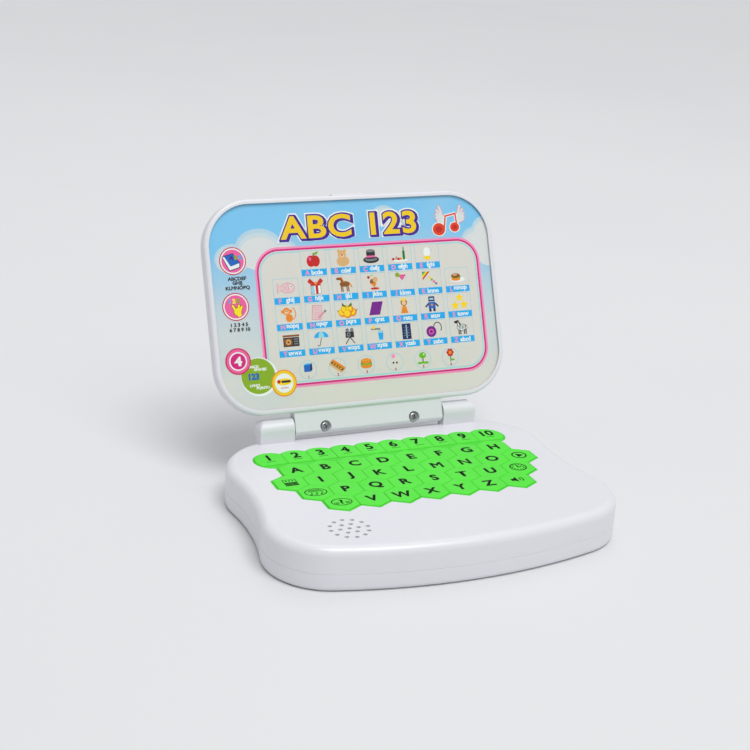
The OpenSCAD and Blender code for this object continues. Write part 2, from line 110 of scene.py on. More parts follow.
def srgb(red, green, blue):
    """A colour given as 0 to 255 per channel, as the linear RGBA that the nodes take."""

    def linear(value):
        value /= 255
        return value / 12.92 if value <= 0.04045 else ((value + 0.055) / 1.055) ** 2.4

    return linear(red), linear(green), linear(blue), 1


def shade(colour, factor):
    """A colour made lighter or darker."""
    return tuple(min(1, channel * factor) for channel in colour[:3]) + (1,)


class Material:
    """A Principled material whose detail comes from noise in the piece's own space."""

    def __init__(self, name, **sockets):
        self.data = bpy.data.materials.new(name)
        self.data.use_nodes = True
        self.nodes = self.data.node_tree.nodes
        self.links = self.data.node_tree.links
        self.shader = self.nodes["Principled BSDF"]
        self.fill(self.shader, {"Roughness": 0.4, **sockets})
        self.space = self.nodes.new("ShaderNodeTexCoord").outputs["Object"]
        self.normal = None

    def feed(self, socket, source):
        """Links another node's output to a socket, or sets it to a plain value."""
        if isinstance(source, bpy.types.NodeSocket):
            self.links.new(source, socket)
        else:
            socket.default_value = source

    def fill(self, node, sockets):
        """Feeds a node's sockets by name, with _ for each space in a name."""
        for name, source in sockets.items():
            self.feed(node.inputs[name.replace("_", " ")], source)

    def node(self, kind, **sockets):
        """A new shader node with its sockets fed."""
        made = self.nodes.new("ShaderNode" + kind)
        self.fill(made, sockets)
        return made

    def noise(self, size, detail=3, stretch=(1, 1, 1)):
        """Noise with features of about the given size in metres."""
        place = self.node("Mapping", Vector=self.space, Scale=[axis / size for axis in stretch])
        return self.node("TexNoise", Vector=place.outputs["Vector"], Scale=1, Detail=detail).outputs["Fac"]

    def between(self, factor, low, high, start=0.35, end=0.65):
        """A number that goes from low to high as the factor goes from start to end."""
        remap = self.node("MapRange", Value=factor, From_Min=start, From_Max=end, To_Min=low, To_Max=high)
        return remap.outputs["Result"]

    def mix(self, factor, first, second):
        """A mix of two colours. Each, and the factor, is a value or a socket."""
        node = self.node("Mix")
        node.data_type = "RGBA"
        for index, source in ((0, factor), (6, first), (7, second)):
            self.feed(node.inputs[index], source)
        return node.outputs[2]

    def colour(self, source):
        """Links an output to the base colour."""
        self.feed(self.shader.inputs["Base Color"], source)
        return self

    def rough(self, size, low, high):
        """Roughness that varies in patches, as handling leaves it."""
        self.feed(self.shader.inputs["Roughness"], self.between(self.noise(size, 4), low, high))
        return self

    def bump(self, height, depth):
        """Adds a bump of the given depth in metres on top of any earlier one."""
        node = self.node("Bump", Strength=1, Distance=depth, Height=height)
        if self.normal:
            self.feed(node.inputs["Normal"], self.normal)
        self.normal = node.outputs["Normal"]
        self.feed(self.shader.inputs["Normal"], self.normal)
        return self


def moulded_plastic(name, colour, rough_low, rough_high, flow, **sockets):
    """Injection-moulded plastic: flow marks of a given contrast, fine surface texture and uneven gloss."""
    made = Material(name, IOR=1.53, **sockets)
    flow_marks = made.between(made.noise(35 * MM, 2, (1, 0.5, 1)), 0, 1)
    tinted = made.mix(flow_marks, shade(colour, 1 - flow), shade(colour, 1 + flow))
    grain = made.between(made.noise(1.4 * MM, 1), 0, 0.5)
    made.colour(made.mix(grain, tinted, shade(colour, 1 - flow)))
    made.rough(9 * MM, rough_low, rough_high)
    made.bump(made.noise(1.6 * MM, 1), 0.0005 * MM)
    return made.bump(made.noise(30 * MM, 1), 0.008 * MM)


def metal(name, colour, rough_low, rough_high, stretch=(1, 1, 1)):
    """Plated or rolled metal with fine directional wear."""
    made = Material(name, Metallic=1.0)
    grain = made.noise(0.4 * MM, 4, stretch)
    made.colour(made.mix(made.between(grain, 0, 1), shade(colour, 0.86), colour))
    made.rough(1.5 * MM, rough_low, rough_high)
    return made.bump(grain, 0.006 * MM)


def offset_print(name):
    """The gloss and paper grain of offset print, still without its colour."""
    made = Material(name, IOR=1.5, Specular_IOR_Level=0.15)
    made.rough(3 * MM, 0.3, 0.42)
    return made.bump(made.noise(0.3 * MM, 3), 0.004 * MM)


def screened(made, ink, paper):
    """The ink broken up by a fine dot screen, which lets some of the paper through."""
    dots = made.between(made.noise(0.22 * MM, 1), 0, 0.03)
    return made.mix(dots, ink, paper)


def printed_ink():
    """Each face's own ink, a little more vivid than it is given, and slightly mottled."""
    made = offset_print("card_print")
    ink = made.node("Attribute")
    ink.attribute_name = "ink"
    vivid = made.node("HueSaturation", Color=ink.outputs["Color"], Saturation=1.2, Value=1.06)
    mottle = made.between(made.noise(7 * MM, 3), 0, 0.025)
    inks = screened(made, vivid.outputs["Color"], srgb(236, 238, 240))
    return made.colour(made.mix(mottle, inks, srgb(150, 160, 170)))


def card_sky(low, high):
    """The card's own print: sky blue at the top, paling in drifts to a warm white lower down."""
    made = offset_print("card_sky")
    split = made.node("SeparateXYZ", Vector=made.space)
    height = high.y - low.y
    up = made.between(split.outputs["Y"], 0, 1, low.y + 0.16 * height, low.y + 0.87 * height)
    drift = made.between(made.noise(45 * MM, 3, (0.6, 1, 1)), -0.13, 0.13)
    sway = made.node("Math")
    sway.operation = "ADD"
    sway.use_clamp = True
    for socket, source in zip(sway.inputs, (up, drift)):
        made.feed(socket, source)
    sky = made.mix(sway.outputs[0], srgb(228, 224, 216), srgb(130, 203, 244))
    return made.colour(screened(made, sky, srgb(240, 242, 244)))


def clear_sheet():
    """Clear polystyrene: what is behind it shows, with a gloss that strengthens at low angles."""
    made = Material("clear_window")
    made.nodes.remove(made.shader)
    through = made.node("BsdfTransparent", Color=(0.985, 0.99, 0.988, 1))
    ripple = made.node("Bump", Height=made.noise(25 * MM, 1), Distance=0.05 * MM)
    haze = made.between(made.noise(20 * MM), 0.05, 0.11)
    gloss = made.node("BsdfGlossy", Roughness=haze, Normal=ripple.outputs["Normal"])
    slant = made.between(made.node("LayerWeight").outputs["Facing"], 0.015, 0.55, 0.4, 1)
    both = made.node("MixShader")
    for socket, source in zip(both.inputs, (slant, through.outputs["BSDF"], gloss.outputs["BSDF"])):
        made.feed(socket, source)
    made.feed(made.nodes["Material Output"].inputs["Surface"], both.outputs["Shader"])
    return made


def circuit_laminate():
    """Brown paper laminate with a green solder mask over copper tracks."""
    made = Material("board_laminate", IOR=1.5)
    tracks = made.node("TexBrick", Vector=made.space, Scale=1 / (9 * MM), Mortar_Size=0.05,
                       Mortar=srgb(74, 142, 70), Color1=srgb(30, 96, 48), Color2=srgb(26, 84, 42))
    mottle = made.between(made.noise(2 * MM), 0, 0.3)
    made.colour(made.mix(mottle, tracks.outputs["Color"], srgb(96, 74, 30)))
    made.rough(4 * MM, 0.35, 0.55)
    return made.bump(tracks.outputs["Fac"], 0.03 * MM)


WHITE = moulded_plastic("white_abs", srgb(222, 221, 227), 0.29, 0.34, 0.006, Coat_Weight=0.1)
GREEN_KEY = moulded_plastic("green_key_plastic", srgb(74, 224, 42), 0.42, 0.5, 0.03)
GREEN_MAT = moulded_plastic("green_mat_rubber", srgb(66, 214, 38), 0.5, 0.6, 0.035)
KEY_INK = moulded_plastic("key_ink", srgb(6, 8, 7), 0.55, 0.65, 0.08, Specular_IOR_Level=0.12)
DARK_PLASTIC = moulded_plastic("dark_plastic", srgb(44, 45, 48), 0.4, 0.55, 0.06)
CELL_SLEEVE = moulded_plastic("cell_sleeve", srgb(34, 52, 92), 0.29, 0.37, 0.05)
CELL_BAND = moulded_plastic("cell_band", srgb(214, 148, 40), 0.29, 0.37, 0.05)
WIRE_JACKET = moulded_plastic("wire_jacket", srgb(186, 32, 28), 0.4, 0.5, 0.05)
STEEL = metal("plated_steel", srgb(178, 178, 182), 0.24, 0.4)
NICKEL = metal("nickel_plate", srgb(196, 192, 184), 0.2, 0.34, (0.2, 1, 1))
SPEAKER_METAL = metal("speaker_metal", srgb(92, 92, 98), 0.35, 0.5)
LAMINATE = circuit_laminate()
PRINT = printed_ink()
CLEAR = clear_sheet()


# ---------------- mesh building

SMOOTH_BELOW = math.radians(35)
SHARP_EDGE = math.radians(40)
STRAIGHT = math.radians(0.5)


def put_in_scene(name, data):
    """A new object in the scene that holds the given data."""
    made = bpy.data.objects.new(name, data)
    bpy.context.scene.collection.objects.link(made)
    return made


def add_piece(name, mesh, materials, body, matrix=LEVEL, stands_for=()):
    """Puts a mesh in the scene as one piece that rides on a body."""
    for material in materials:
        mesh.materials.append(material.data)
    for polygon in mesh.polygons:
        polygon.use_smooth = True
    mesh.set_sharp_from_angle(angle=SMOOTH_BELOW)
    piece = put_in_scene(name, mesh)
    piece.matrix_world = matrix
    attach(piece, body)
    if stands_for:
        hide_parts(*stands_for)
    return piece


def mesh_of(solid, name):
    """Turns an edit mesh into a mesh with its faces pointing outwards."""
    bmesh.ops.recalc_face_normals(solid, faces=solid.faces)
    mesh = bpy.data.meshes.new(name)
    solid.to_mesh(mesh)
    solid.free()
    return mesh


def skin(solid, rings, material=0):
    """Skins rings of points, lowest first, into a closed solid. Returns the faces."""
    loops = [[solid.verts.new(point) for point in ring] for ring in rings]
    faces = [solid.faces.new(list(reversed(loops[0]))), solid.faces.new(loops[-1])]
    for low, high in zip(loops, loops[1:]):
        for i, corner in enumerate(low):
            j = (i + 1) % len(low)
            faces.append(solid.faces.new((corner, low[j], high[j], high[i])))
    for face in faces:
        face.material_index = material
    return faces


def whole_turn(steps):
    """Equally spaced angles all the way round."""
    return [2 * math.pi * i / steps for i in range(steps)]


def ellipse(x, y, radius_x, radius_y, angles):
    """The points of an ellipse at these angles."""
    return [(x + radius_x * math.cos(a), y + radius_y * math.sin(a)) for a in angles]


def lathe(solid, profile, material=0, matrix=LEVEL):
    """Turns (radius, height) pairs about Z into a closed solid."""
    angles = whole_turn(SEGMENTS)
    rings = [[matrix @ Vector((*point, height)) for point in ellipse(0, 0, radius, radius, angles)]
             for radius, height in profile]
    return skin(solid, rings, material)


def rectangle(low, high):
    """The corners of a rectangle, anticlockwise from the lowest."""
    return [(low[0], low[1]), (high[0], low[1]), (high[0], high[1]), (low[0], high[1])]


def box(solid, low, high):
    return skin(solid, [[(x, y, z) for x, y in rectangle(low, high)] for z in (low[2], high[2])])


def rounded_corners(points, radius, steps=5):
    """Replaces each corner of a convex outline with a short arc."""
    rounded = []
    for i, corner in enumerate(points):
        to_last = (points[i - 1] - corner).normalized()
        to_next = (points[(i + 1) % len(points)] - corner).normalized()
        half_angle = to_last.angle(to_next) / 2
        middle = corner + (to_last + to_next).normalized() * radius / math.sin(half_angle)
        start = corner + to_last * radius / math.tan(half_angle) - middle
        turn = (math.pi - 2 * half_angle) / steps
        for k in range(steps + 1):
            rounded.append(middle + Matrix.Rotation(turn * k, 2) @ start)
    return rounded


def rounded_rectangle(low, high, radius):
    """Outline of a rectangle with round corners, anticlockwise."""
    corners = [(high[0], low[1]), (high[0], high[1]), (low[0], high[1]), (low[0], low[1])]
    return rounded_corners([Vector(c) for c in corners], radius, 20)


def apply_cut(target, cutter):
    """Cuts one mesh out of another and returns the result."""
    objects = [put_in_scene("cut_work", mesh) for mesh in (target, cutter)]
    modifier = objects[0].modifiers.new("cut", "BOOLEAN")
    modifier.operation = "DIFFERENCE"
    modifier.object = objects[1]
    graph = bpy.context.evaluated_depsgraph_get()
    result = bpy.data.meshes.new_from_object(objects[0].evaluated_get(graph))
    for part in objects:
        bpy.data.objects.remove(part)
    return result


def dressed(node, material, body, rounding=0.25 * MM):
    """The CAD node's own shape with its sharp edges rounded and its curves shaded smooth."""
    solid = cad_solid(node)
    bmesh.ops.dissolve_limit(solid, angle_limit=STRAIGHT, verts=solid.verts[:], edges=solid.edges[:])
    sharp = [e for e in solid.edges if e.is_manifold and e.calc_face_angle() > SHARP_EDGE]
    bmesh.ops.bevel(solid, geom=sharp, offset=rounding, offset_type="OFFSET", segments=2,
                    profile=0.5, affect="EDGES", clamp_overlap=False)
    piece = add_piece(node + "_shell", mesh_of(solid, node), [material], body, stands_for=[node])
    normals = piece.modifiers.new("flat_faces_stay_flat", "WEIGHTED_NORMAL")
    normals.keep_sharp = True
    return piece


# ---------------- shells

for shell, shell_body in (("base_top_cover", "base"), ("base_bottom_cover", "base"),
                          ("battery_door", "battery_door"), ("lid_front_frame", "lid"),
                          ("lid_rear_cover", "lid")):
    dressed(shell, WHITE, shell_body)
dressed("keypad_mat", GREEN_MAT, "base", rounding=0.2 * MM)


# ---------------- CAD nodes that stay

for node_name, node_material in (("battery_contacts", NICKEL), ("circuit_board", LAMINATE),
                                 ("speaker", SPEAKER_METAL), ("switch_body", STEEL),
                                 ("hookup_wires", WIRE_JACKET), ("hinge_pins", STEEL)):
    for material_slot in frame["nodes"][node_name].material_slots:
        material_slot.material = node_material.data


# ---------------- flat print


def embolden(mesh, amount, merge):
    """Pushes the outlines of a flat mesh apart from its faces, round holes too."""
    flat = bmesh.new()
    flat.from_mesh(mesh)
    bmesh.ops.remove_doubles(flat, verts=flat.verts, dist=merge)
    moves = {}
    for vert in flat.verts:
        push = Vector()
        for loop in (edge.link_loops[0] for edge in vert.link_edges if edge.is_boundary):
            along = (loop.link_loop_next.vert.co - loop.vert.co).normalized()
            push += along.cross(loop.face.normal)
        moves[vert] = push * amount * 2 / max(push.length_squared, 1)
    for vert, move in moves.items():
        vert.co += move
    flat.to_mesh(mesh)
    flat.free()


def letters(text, size, weight=0.0, border=0.0):
    """Some text as a flat mesh, centred on the origin. A border also closes small holes."""
    curve = bpy.data.curves.new("letters", "FONT")
    curve.body = text
    curve.size = size
    curve.offset = border
    curve.space_character = 1.1 if border else 1
    curve.resolution_u = 4
    curve.align_x = "CENTER"
    carrier = put_in_scene("letters", curve)
    graph = bpy.context.evaluated_depsgraph_get()
    mesh = bpy.data.meshes.new_from_object(carrier.evaluated_get(graph))
    bpy.data.objects.remove(carrier)
    embolden(mesh, weight, 0.004 * size)
    xs = [v.co.x for v in mesh.vertices]
    ys = [v.co.y for v in mesh.vertices]
    middle = Vector(((min(xs) + max(xs)) / 2, (min(ys) + max(ys)) / 2, 0))
    mesh.transform(Matrix.Translation(-middle))
    return mesh


class Artwork:
    """Inks laid on a flat face as thin closed layers, each above the last. Places are in millimetres."""

    def __init__(self, face, layer, origin, solid=None, material=0, rise=1):
        self.solid = solid or bmesh.new()
        self.ink = None if solid else self.solid.faces.layers.float_color.new("ink")
        self.face = face
        self.layer = layer
        self.origin = Vector(origin)
        self.material = material
        self.rise = rise
        self.start(0, 0)

    def start(self, x, y, level=1, scale=1.0):
        """Moves the pen, which later places are measured from, and sets the size of what is drawn."""
        self.pen = self.origin + Vector((x, y)) * MM
        self.level = level
        self.unit = scale * MM

    def finish(self, faces, colour):
        """Inks some faces and goes up to the next level."""
        for face in faces:
            face.material_index = self.material
            if self.ink:
                face[self.ink] = colour
        self.level += self.rise

    def shape(self, colour, outline):
        points = [self.pen + Vector(p) * self.unit for p in outline]
        heights = (self.face, self.face + self.layer * self.level)
        rings = [[(p.x, p.y, z) for p in points] for z in heights]
        self.finish(skin(self.solid, rings), colour)

    def disc(self, colour, x, y, radius_x, radius_y=None, steps=28):
        self.shape(colour, ellipse(x, y, radius_x, radius_y or radius_x, whole_turn(steps)))

    def discs(self, colour, xs, *rest):
        """The same disc at several places along X."""
        for x in xs:
            self.disc(colour, x, *rest)

    def bar(self, colour, x0, y0, x1, y1):
        self.shape(colour, rectangle((x0, y0), (x1, y1)))

    def line(self, colour, x0, y0, x1, y1, width):
        along = Vector((x1 - x0, y1 - y0))
        side = Vector((-along.y, along.x)).normalized() * width / 2
        ends = Vector((x0, y0)), Vector((x1, y1))
        self.shape(colour, [ends[0] - side, ends[1] - side, ends[1] + side, ends[0] + side])

    def finger(self, colour, x0, y0, x1, y1, width, steps=8):
        """A line with a round far end."""
        start, end = Vector((x0, y0)), Vector((x1, y1))
        along = (end - start).normalized() * width / 2
        side = Vector((-along.y, along.x))
        turns = [math.pi * (i / steps - 0.5) for i in range(steps + 1)]
        tip = [end + along * math.cos(a) + side * math.sin(a) for a in turns]
        self.shape(colour, [start - side, *tip, start + side])

    def star(self, colour, x, y, radius):
        """A five-pointed star."""
        turns = [math.pi / 2 + math.pi * i / 5 for i in range(10)]
        reach = [radius, 0.45 * radius] * 5
        self.shape(colour, [(x + r * math.cos(a), y + r * math.sin(a)) for r, a in zip(reach, turns)])

    def arc(self, colour, x, y, radius_x, radius_y, start, end, width, steps=14):
        """A curved line, as short straight ones at one level."""
        angles = [math.radians(start + (end - start) * i / steps) for i in range(steps + 1)]
        points = ellipse(x, y, radius_x, radius_y, angles)
        level = self.level
        for (x0, y0), (x1, y1) in zip(points, points[1:]):
            self.line(colour, x0, y0, x1, y1, width)
            self.level = level
        self.level += self.rise

    def text(self, colour, words, x, y, size, weight=0.0, stretch=(1, 1), border=0.0):
        """Filled letters, centred on a place."""
        flat = bmesh.new()
        flat.from_mesh(letters(words, size * self.unit, weight * self.unit, border * self.unit))
        middle = self.pen + Vector((x, y)) * self.unit
        place = Matrix.Translation((middle.x, middle.y, self.face)) @ Matrix.Diagonal((*stretch, 1, 1))
        bmesh.ops.remove_doubles(flat, verts=flat.verts, dist=1e-7)
        bmesh.ops.transform(flat, matrix=place, verts=flat.verts)
        raised = bmesh.ops.extrude_face_region(flat, geom=flat.faces[:], use_keep_orig=True)
        risen = [item for item in raised["geom"] if isinstance(item, bmesh.types.BMVert)]
        bmesh.ops.translate(flat, verts=risen, vec=(0, 0, self.layer * self.level))
        copies = {vert: self.solid.verts.new(vert.co) for vert in flat.verts}
        self.finish([self.solid.faces.new([copies[v] for v in face.verts]) for face in flat.faces], colour)
        flat.free()


# ---------------- keys

KEY_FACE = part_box("key_a")[1].z
KEY_GROWTH = 0.06 * MM
KEY_CORNER_R = 0.8 * MM
# How far the rounded edge has fallen below the face, and how far it is set in, in millimetres.
KEY_EDGE = ((0.42, 0), (0.28, 0.04), (0.16, 0.14), (0.09, 0.34), (0.03, 1.6), (0, 3.2))
INK_SINK = 0.1 * MM
INK_LIFT = 0.015 * MM
BLACK = srgb(0, 0, 0)
LETTER_SIZE = 9.4
DIGIT_SIZE = 10
NUMBER_WORD_MARKS = (-2.1, -0.7, 0.7, 2.1)


def key_outline(node):
    """The plan of a key cap, from the highest points of its CAD solid."""
    top = [v.co for v in cad_mesh(node).vertices if v.co.z > KEY_FACE - 1e-5]
    unique = {(round(p.x, 6), round(p.y, 6)) for p in top}
    low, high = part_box(node)
    middle = (low + high).xy / 2
    corners = [Vector(p) for p in unique]
    return sorted(corners, key=lambda p: math.atan2(p.y - middle.y, p.x - middle.x)), middle


def straight_corners(outline):
    """Drops the points that lie on a straight run, so that corners can be rounded."""
    kept = []
    for i, point in enumerate(outline):
        before = (point - outline[i - 1]).normalized()
        after = (outline[(i + 1) % len(outline)] - point).normalized()
        if before.angle(after) > STRAIGHT:
            kept.append(point)
    return kept


def key_cap(solid, node):
    """A cap with softened corners and edges, very slightly domed. Returns its middle."""
    outline, middle = key_outline(node)
    outline = straight_corners(outline)
    if len(outline) == 6:
        outline = rounded_corners(outline, KEY_CORNER_R)
    reach = sum((p - middle).length for p in outline) / len(outline)
    edge = [(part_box(node)[0].z, 0)]
    edge += [(KEY_FACE - fall * MM, inset * MM) for fall, inset in KEY_EDGE]
    rings = []
    for height, inset in edge:
        factor = 1 + (KEY_GROWTH - inset) / reach
        ring = [middle + (p - middle) * factor for p in outline]
        rings.append([(p.x, p.y, height) for p in ring])
    skin(solid, rings)
    return middle


def note(art, x, y, size):
    """A quaver."""
    art.disc(BLACK, x - 0.3 * size, y - 0.6 * size, 0.38 * size, 0.28 * size)
    art.bar(BLACK, x - 0.06 * size, y - 0.6 * size, x + 0.1 * size, y + 0.8 * size)
    art.line(BLACK, x, y + 0.75 * size, x + 0.6 * size, y + 0.3 * size, 0.26 * size)


def page_icon(art):
    """A page with a picture above and lines of writing below."""
    for side in (-1, 1):
        art.line(BLACK, side * 3.7, 0.5, side * 3.7, 4, 0.4)
    art.line(BLACK, -3.9, 4, 3.9, 4, 0.4)
    for i in range(3):
        art.disc(BLACK, 1.9 * i - 1.9, 2.3, 0.5, 0.8, 12)
        art.bar(BLACK, -3.9, -4 + 1.55 * i, 3.9, -2.75 + 1.55 * i)


def melody_icon(art):
    art.arc(BLACK, 0, 0, 6.3, 4.4, 0, 360, 0.6, 28)
    for i in range(3):
        art.line(BLACK, -4.6 + 0.7 * i, 1.1 + 0.9 * i, 4.6 - 0.7 * i, 1.1 + 0.9 * i, 0.45)
    for x in (-2.9, 0.1, 3.1):
        note(art, x, -1.5, 1.9)


def question_icon(art):
    art.arc(BLACK, 0, 0, 5.8, 4.1, 0, 360, 0.6, 28)
    art.text(BLACK, "?", 0, 0.2, 6.6, 0.3)
    for side in (-1, 1):
        for i in range(3):
            art.line(BLACK, side * 1.9, -2.2 + 0.9 * i, side * (3.8 + 0.5 * i), -2.2 + 0.9 * i, 0.45)


def play_icon(art):
    art.arc(BLACK, 0, 0, 4.2, 4.1, 0, 360, 0.9, 28)
    art.shape(BLACK, [(-1.5, -2.6), (2.8, 0), (-1.5, 2.6)])


def clock_icon(art):
    art.arc(BLACK, 0, 0, 4.8, 4.6, 0, 360, 0.8, 28)
    hours = whole_turn(12)
    for inner, outer in zip(ellipse(0, 0, 2.9, 2.8, hours), ellipse(0, 0, 3.9, 3.8, hours)):
        art.line(BLACK, *inner, *outer, 0.7)
    art.line(BLACK, 0, -0.4, 0, 2.5, 0.9)
    art.line(BLACK, -0.4, 0, 2.2, 0, 0.9)


def sound_icon(art):
    art.shape(BLACK, [(-3.8, -1.3), (-2.1, -1.3), (0, -3.2), (0, 3.2), (-2.1, 1.3), (-3.8, 1.3)])
    for reach in (2, 3.8):
        art.arc(BLACK, -0.2, 0, reach, reach, -42, 42, 0.7, 6)


ICONS = {"key_left_1": page_icon, "key_left_2": melody_icon, "key_left_3": question_icon,
         "key_right_1": play_icon, "key_right_2": clock_icon, "key_right_3": sound_icon}


def make_key(node):
    """One key with its black print, as a single piece on the key's own body."""
    solid = bmesh.new()
    middle = key_cap(solid, node)
    art = Artwork(KEY_FACE - INK_SINK, INK_SINK + INK_LIFT, middle, solid, material=1, rise=0)
    mark = node.removeprefix("key_")
    if node in ICONS:
        ICONS[node](art)
    elif mark.isdigit():
        art.text(BLACK, mark, 0, 1.2, DIGIT_SIZE, 0.34)
        for x in NUMBER_WORD_MARKS:
            art.bar(BLACK, x - 0.5, -4.6, x + 0.5, -4)
    else:
        art.text(BLACK, mark.upper(), 0, 0, LETTER_SIZE, 0.38, (1.04, 1))
    mesh = mesh_of(solid, node)
    add_piece(node + "_cap", mesh, [GREEN_KEY, KEY_INK], node, stands_for=[node])


for key_node in [name for name in frame["nodes"] if name.startswith("key_")]:
    make_key(key_node)


# ---------------- screws

HEAD_H = 1.75 * MM
SHANK_R = 1.25 * MM
THREAD_ROOT_R = 0.8 * SHANK_R
THREAD_PITCH = 0.8 * MM
TURN_TO_NEXT_SCREW = 37
# Height, half length and half width of a cross slot at its floor and above the head.
CROSS_FLOOR = 0.45 * MM, 0.7 * MM, 0.25 * MM
CROSS_MOUTH = HEAD_H + 0.2 * MM, 1.75 * MM, 0.42 * MM


def phillips_screw(head_r, length):
    """A self-tapping pan-head screw with its seat at Z 0 and its head up."""
    solid = bmesh.new()
    profile = [(0.3 * MM, -length), (SHANK_R, 1.2 * MM - length)]
    for i in range(int((length - 2.2 * MM) / THREAD_PITCH)):
        z = -length + 1.4 * MM + i * THREAD_PITCH
        profile += [(THREAD_ROOT_R, z), (SHANK_R, z + 0.3 * MM), (THREAD_ROOT_R, z + 0.6 * MM)]
    profile += [(SHANK_R * 0.9, -0.1 * MM), (head_r, 0)]
    for i in range(7):
        a = math.radians(90 * i / 6)
        profile.append((head_r * (0.62 + 0.38 * math.cos(a)), HEAD_H * (0.45 + 0.55 * math.sin(a))))
    profile.append((0.1 * MM, HEAD_H))
    lathe(solid, profile)
    target = mesh_of(solid, "screw")
    for turn in (0, 90):
        spin = Matrix.Rotation(math.radians(turn), 4, "Z")
        cutter = bmesh.new()
        skin(cutter, [[spin @ Vector((x, y, z)) for x, y in rectangle((-reach, -half), (reach, half))]
                      for z, reach, half in (CROSS_FLOOR, CROSS_MOUTH)])
        target = apply_cut(target, mesh_of(cutter, "cross"))
    return target


def screw_set(name, node, body, matrix, head_up, turn):
    """One screw in the place of each of a CAD node's screws, all as one piece."""
    whole = bmesh.new()
    for index, (low, high) in enumerate(islands(node, matrix)):
        middle = (low + high) / 2
        seat = high.z - HEAD_H if head_up else low.z + HEAD_H
        facing = LEVEL if head_up else Matrix.Rotation(math.pi, 4, "X")
        spin = Matrix.Rotation(math.radians(turn + TURN_TO_NEXT_SCREW * index), 4, "Z")
        screw = phillips_screw((high.x - low.x) / 2, high.z - low.z - HEAD_H)
        screw.transform(Matrix.Translation((middle.x, middle.y, seat)) @ facing @ spin)
        whole.from_mesh(screw)
    add_piece(name, mesh_of(whole, name), [STEEL], body, matrix, [node])


screw_set("lid_screw_pair", "lid_screws", "lid", LID, True, 20)
screw_set("case_screw_set", "case_screws", "base", LEVEL, False, 0)


# ---------------- batteries and switch


def make_batteries():
    """Three AA cells, each the other way round from its neighbour."""
    solid = bmesh.new()
    sleeve, band, metal_end = 0, 1, 2
    for index, (low, high) in enumerate(sorted(islands("batteries"), key=lambda b: b[0].y)):
        flip = index % 2 == 1
        middle = (low + high) / 2
        turn = Matrix.Rotation(math.radians(-90 if flip else 90), 4, "Y")
        place = Matrix.Translation((high.x if flip else low.x, middle.y, middle.z)) @ turn
        r = (high.y - low.y) / 2 - 0.02 * MM
        length = high.x - low.x
        shoulder = length - 1.2 * MM
        band_start = 0.68 * length
        lathe(solid, [(r - 2.2 * MM, 0.02 * MM), (r - 1.4 * MM, 0), (r - 0.7 * MM, 0.15 * MM),
                      (r - 0.4 * MM, 0.7 * MM)], metal_end, place)
        lathe(solid, [(r - 0.4 * MM, 0.7 * MM), (r, 1 * MM), (r, band_start)], sleeve, place)
        lathe(solid, [(r, band_start), (r, shoulder - 0.9 * MM), (r - 0.6 * MM, shoulder - 0.3 * MM),
                      (r - 1.6 * MM, shoulder - 0.1 * MM)], band, place)
        lathe(solid, [(r - 1.6 * MM, shoulder - 0.3 * MM), (r - 1.8 * MM, shoulder), (3 * MM, shoulder),
                      (2.7 * MM, shoulder + 0.2 * MM), (2.6 * MM, length - 0.25 * MM),
                      (2.3 * MM, length)], metal_end, place)
    mesh = mesh_of(solid, "aa_cells")
    add_piece("aa_cells", mesh, [CELL_SLEEVE, CELL_BAND, NICKEL], "base",
              stands_for=["batteries"])


def make_slider():
    """The switch's finger piece, with ribs across its outer end."""
    low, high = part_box("switch_slider")
    solid = bmesh.new()
    ribs, rib_h, rib_inset, overlap = 4, 0.45 * MM, 0.2 * MM, 0.05 * MM
    box(solid, low, (high.x - rib_h, high.y, high.z))
    step = (high.y - low.y) / ribs
    for i in range(ribs):
        y = low.y + (i + 0.2) * step
        box(solid, (high.x - rib_h - overlap, y, low.z + rib_inset),
            (high.x, y + 0.6 * step, high.z - rib_inset))
    bmesh.ops.bevel(solid, geom=solid.edges[:], offset=0.12 * MM, segments=2, profile=0.5, affect="EDGES")
    mesh = mesh_of(solid, "slider")
    add_piece("switch_finger_piece", mesh, [DARK_PLASTIC], "switch_slider",
              stands_for=["switch_slider"])


make_batteries()
make_slider()


# ---------------- lid card and window

WINDOW_LOW, WINDOW_HIGH = box_of(cad_mesh("display_window").vertices, LID)
CARD_LOW, CARD_HIGH = box_of(cad_mesh("display_card").vertices, LID)
SHEET_R = 26.9 * MM
PRINT_ROOM = 0.2 * MM


def sheet(name, low, high, material, stands_for, edge):
    """A thin round-cornered sheet in the lid, with softened edges."""
    solid = bmesh.new()
    rings = []
    for z, inset in ((low.z, edge), (low.z + edge, 0), (high.z - edge, 0), (high.z, edge)):
        outline = rounded_rectangle((low.x + inset, low.y + inset), (high.x - inset, high.y - inset),
                                    SHEET_R - inset)
        rings.append([(p.x, p.y, z) for p in outline])
    skin(solid, rings)
    return add_piece(name, mesh_of(solid, name), [material], "lid", LID, stands_for)


sheet("picture_card", CARD_LOW, CARD_HIGH, card_sky(CARD_LOW, CARD_HIGH),
      ["display_card"], 0.03 * MM)
sheet("clear_window", WINDOW_LOW + Vector((0, 0, PRINT_ROOM)), WINDOW_HIGH, CLEAR,
      ["display_window"], 0.05 * MM)


# ---------------- lid artwork

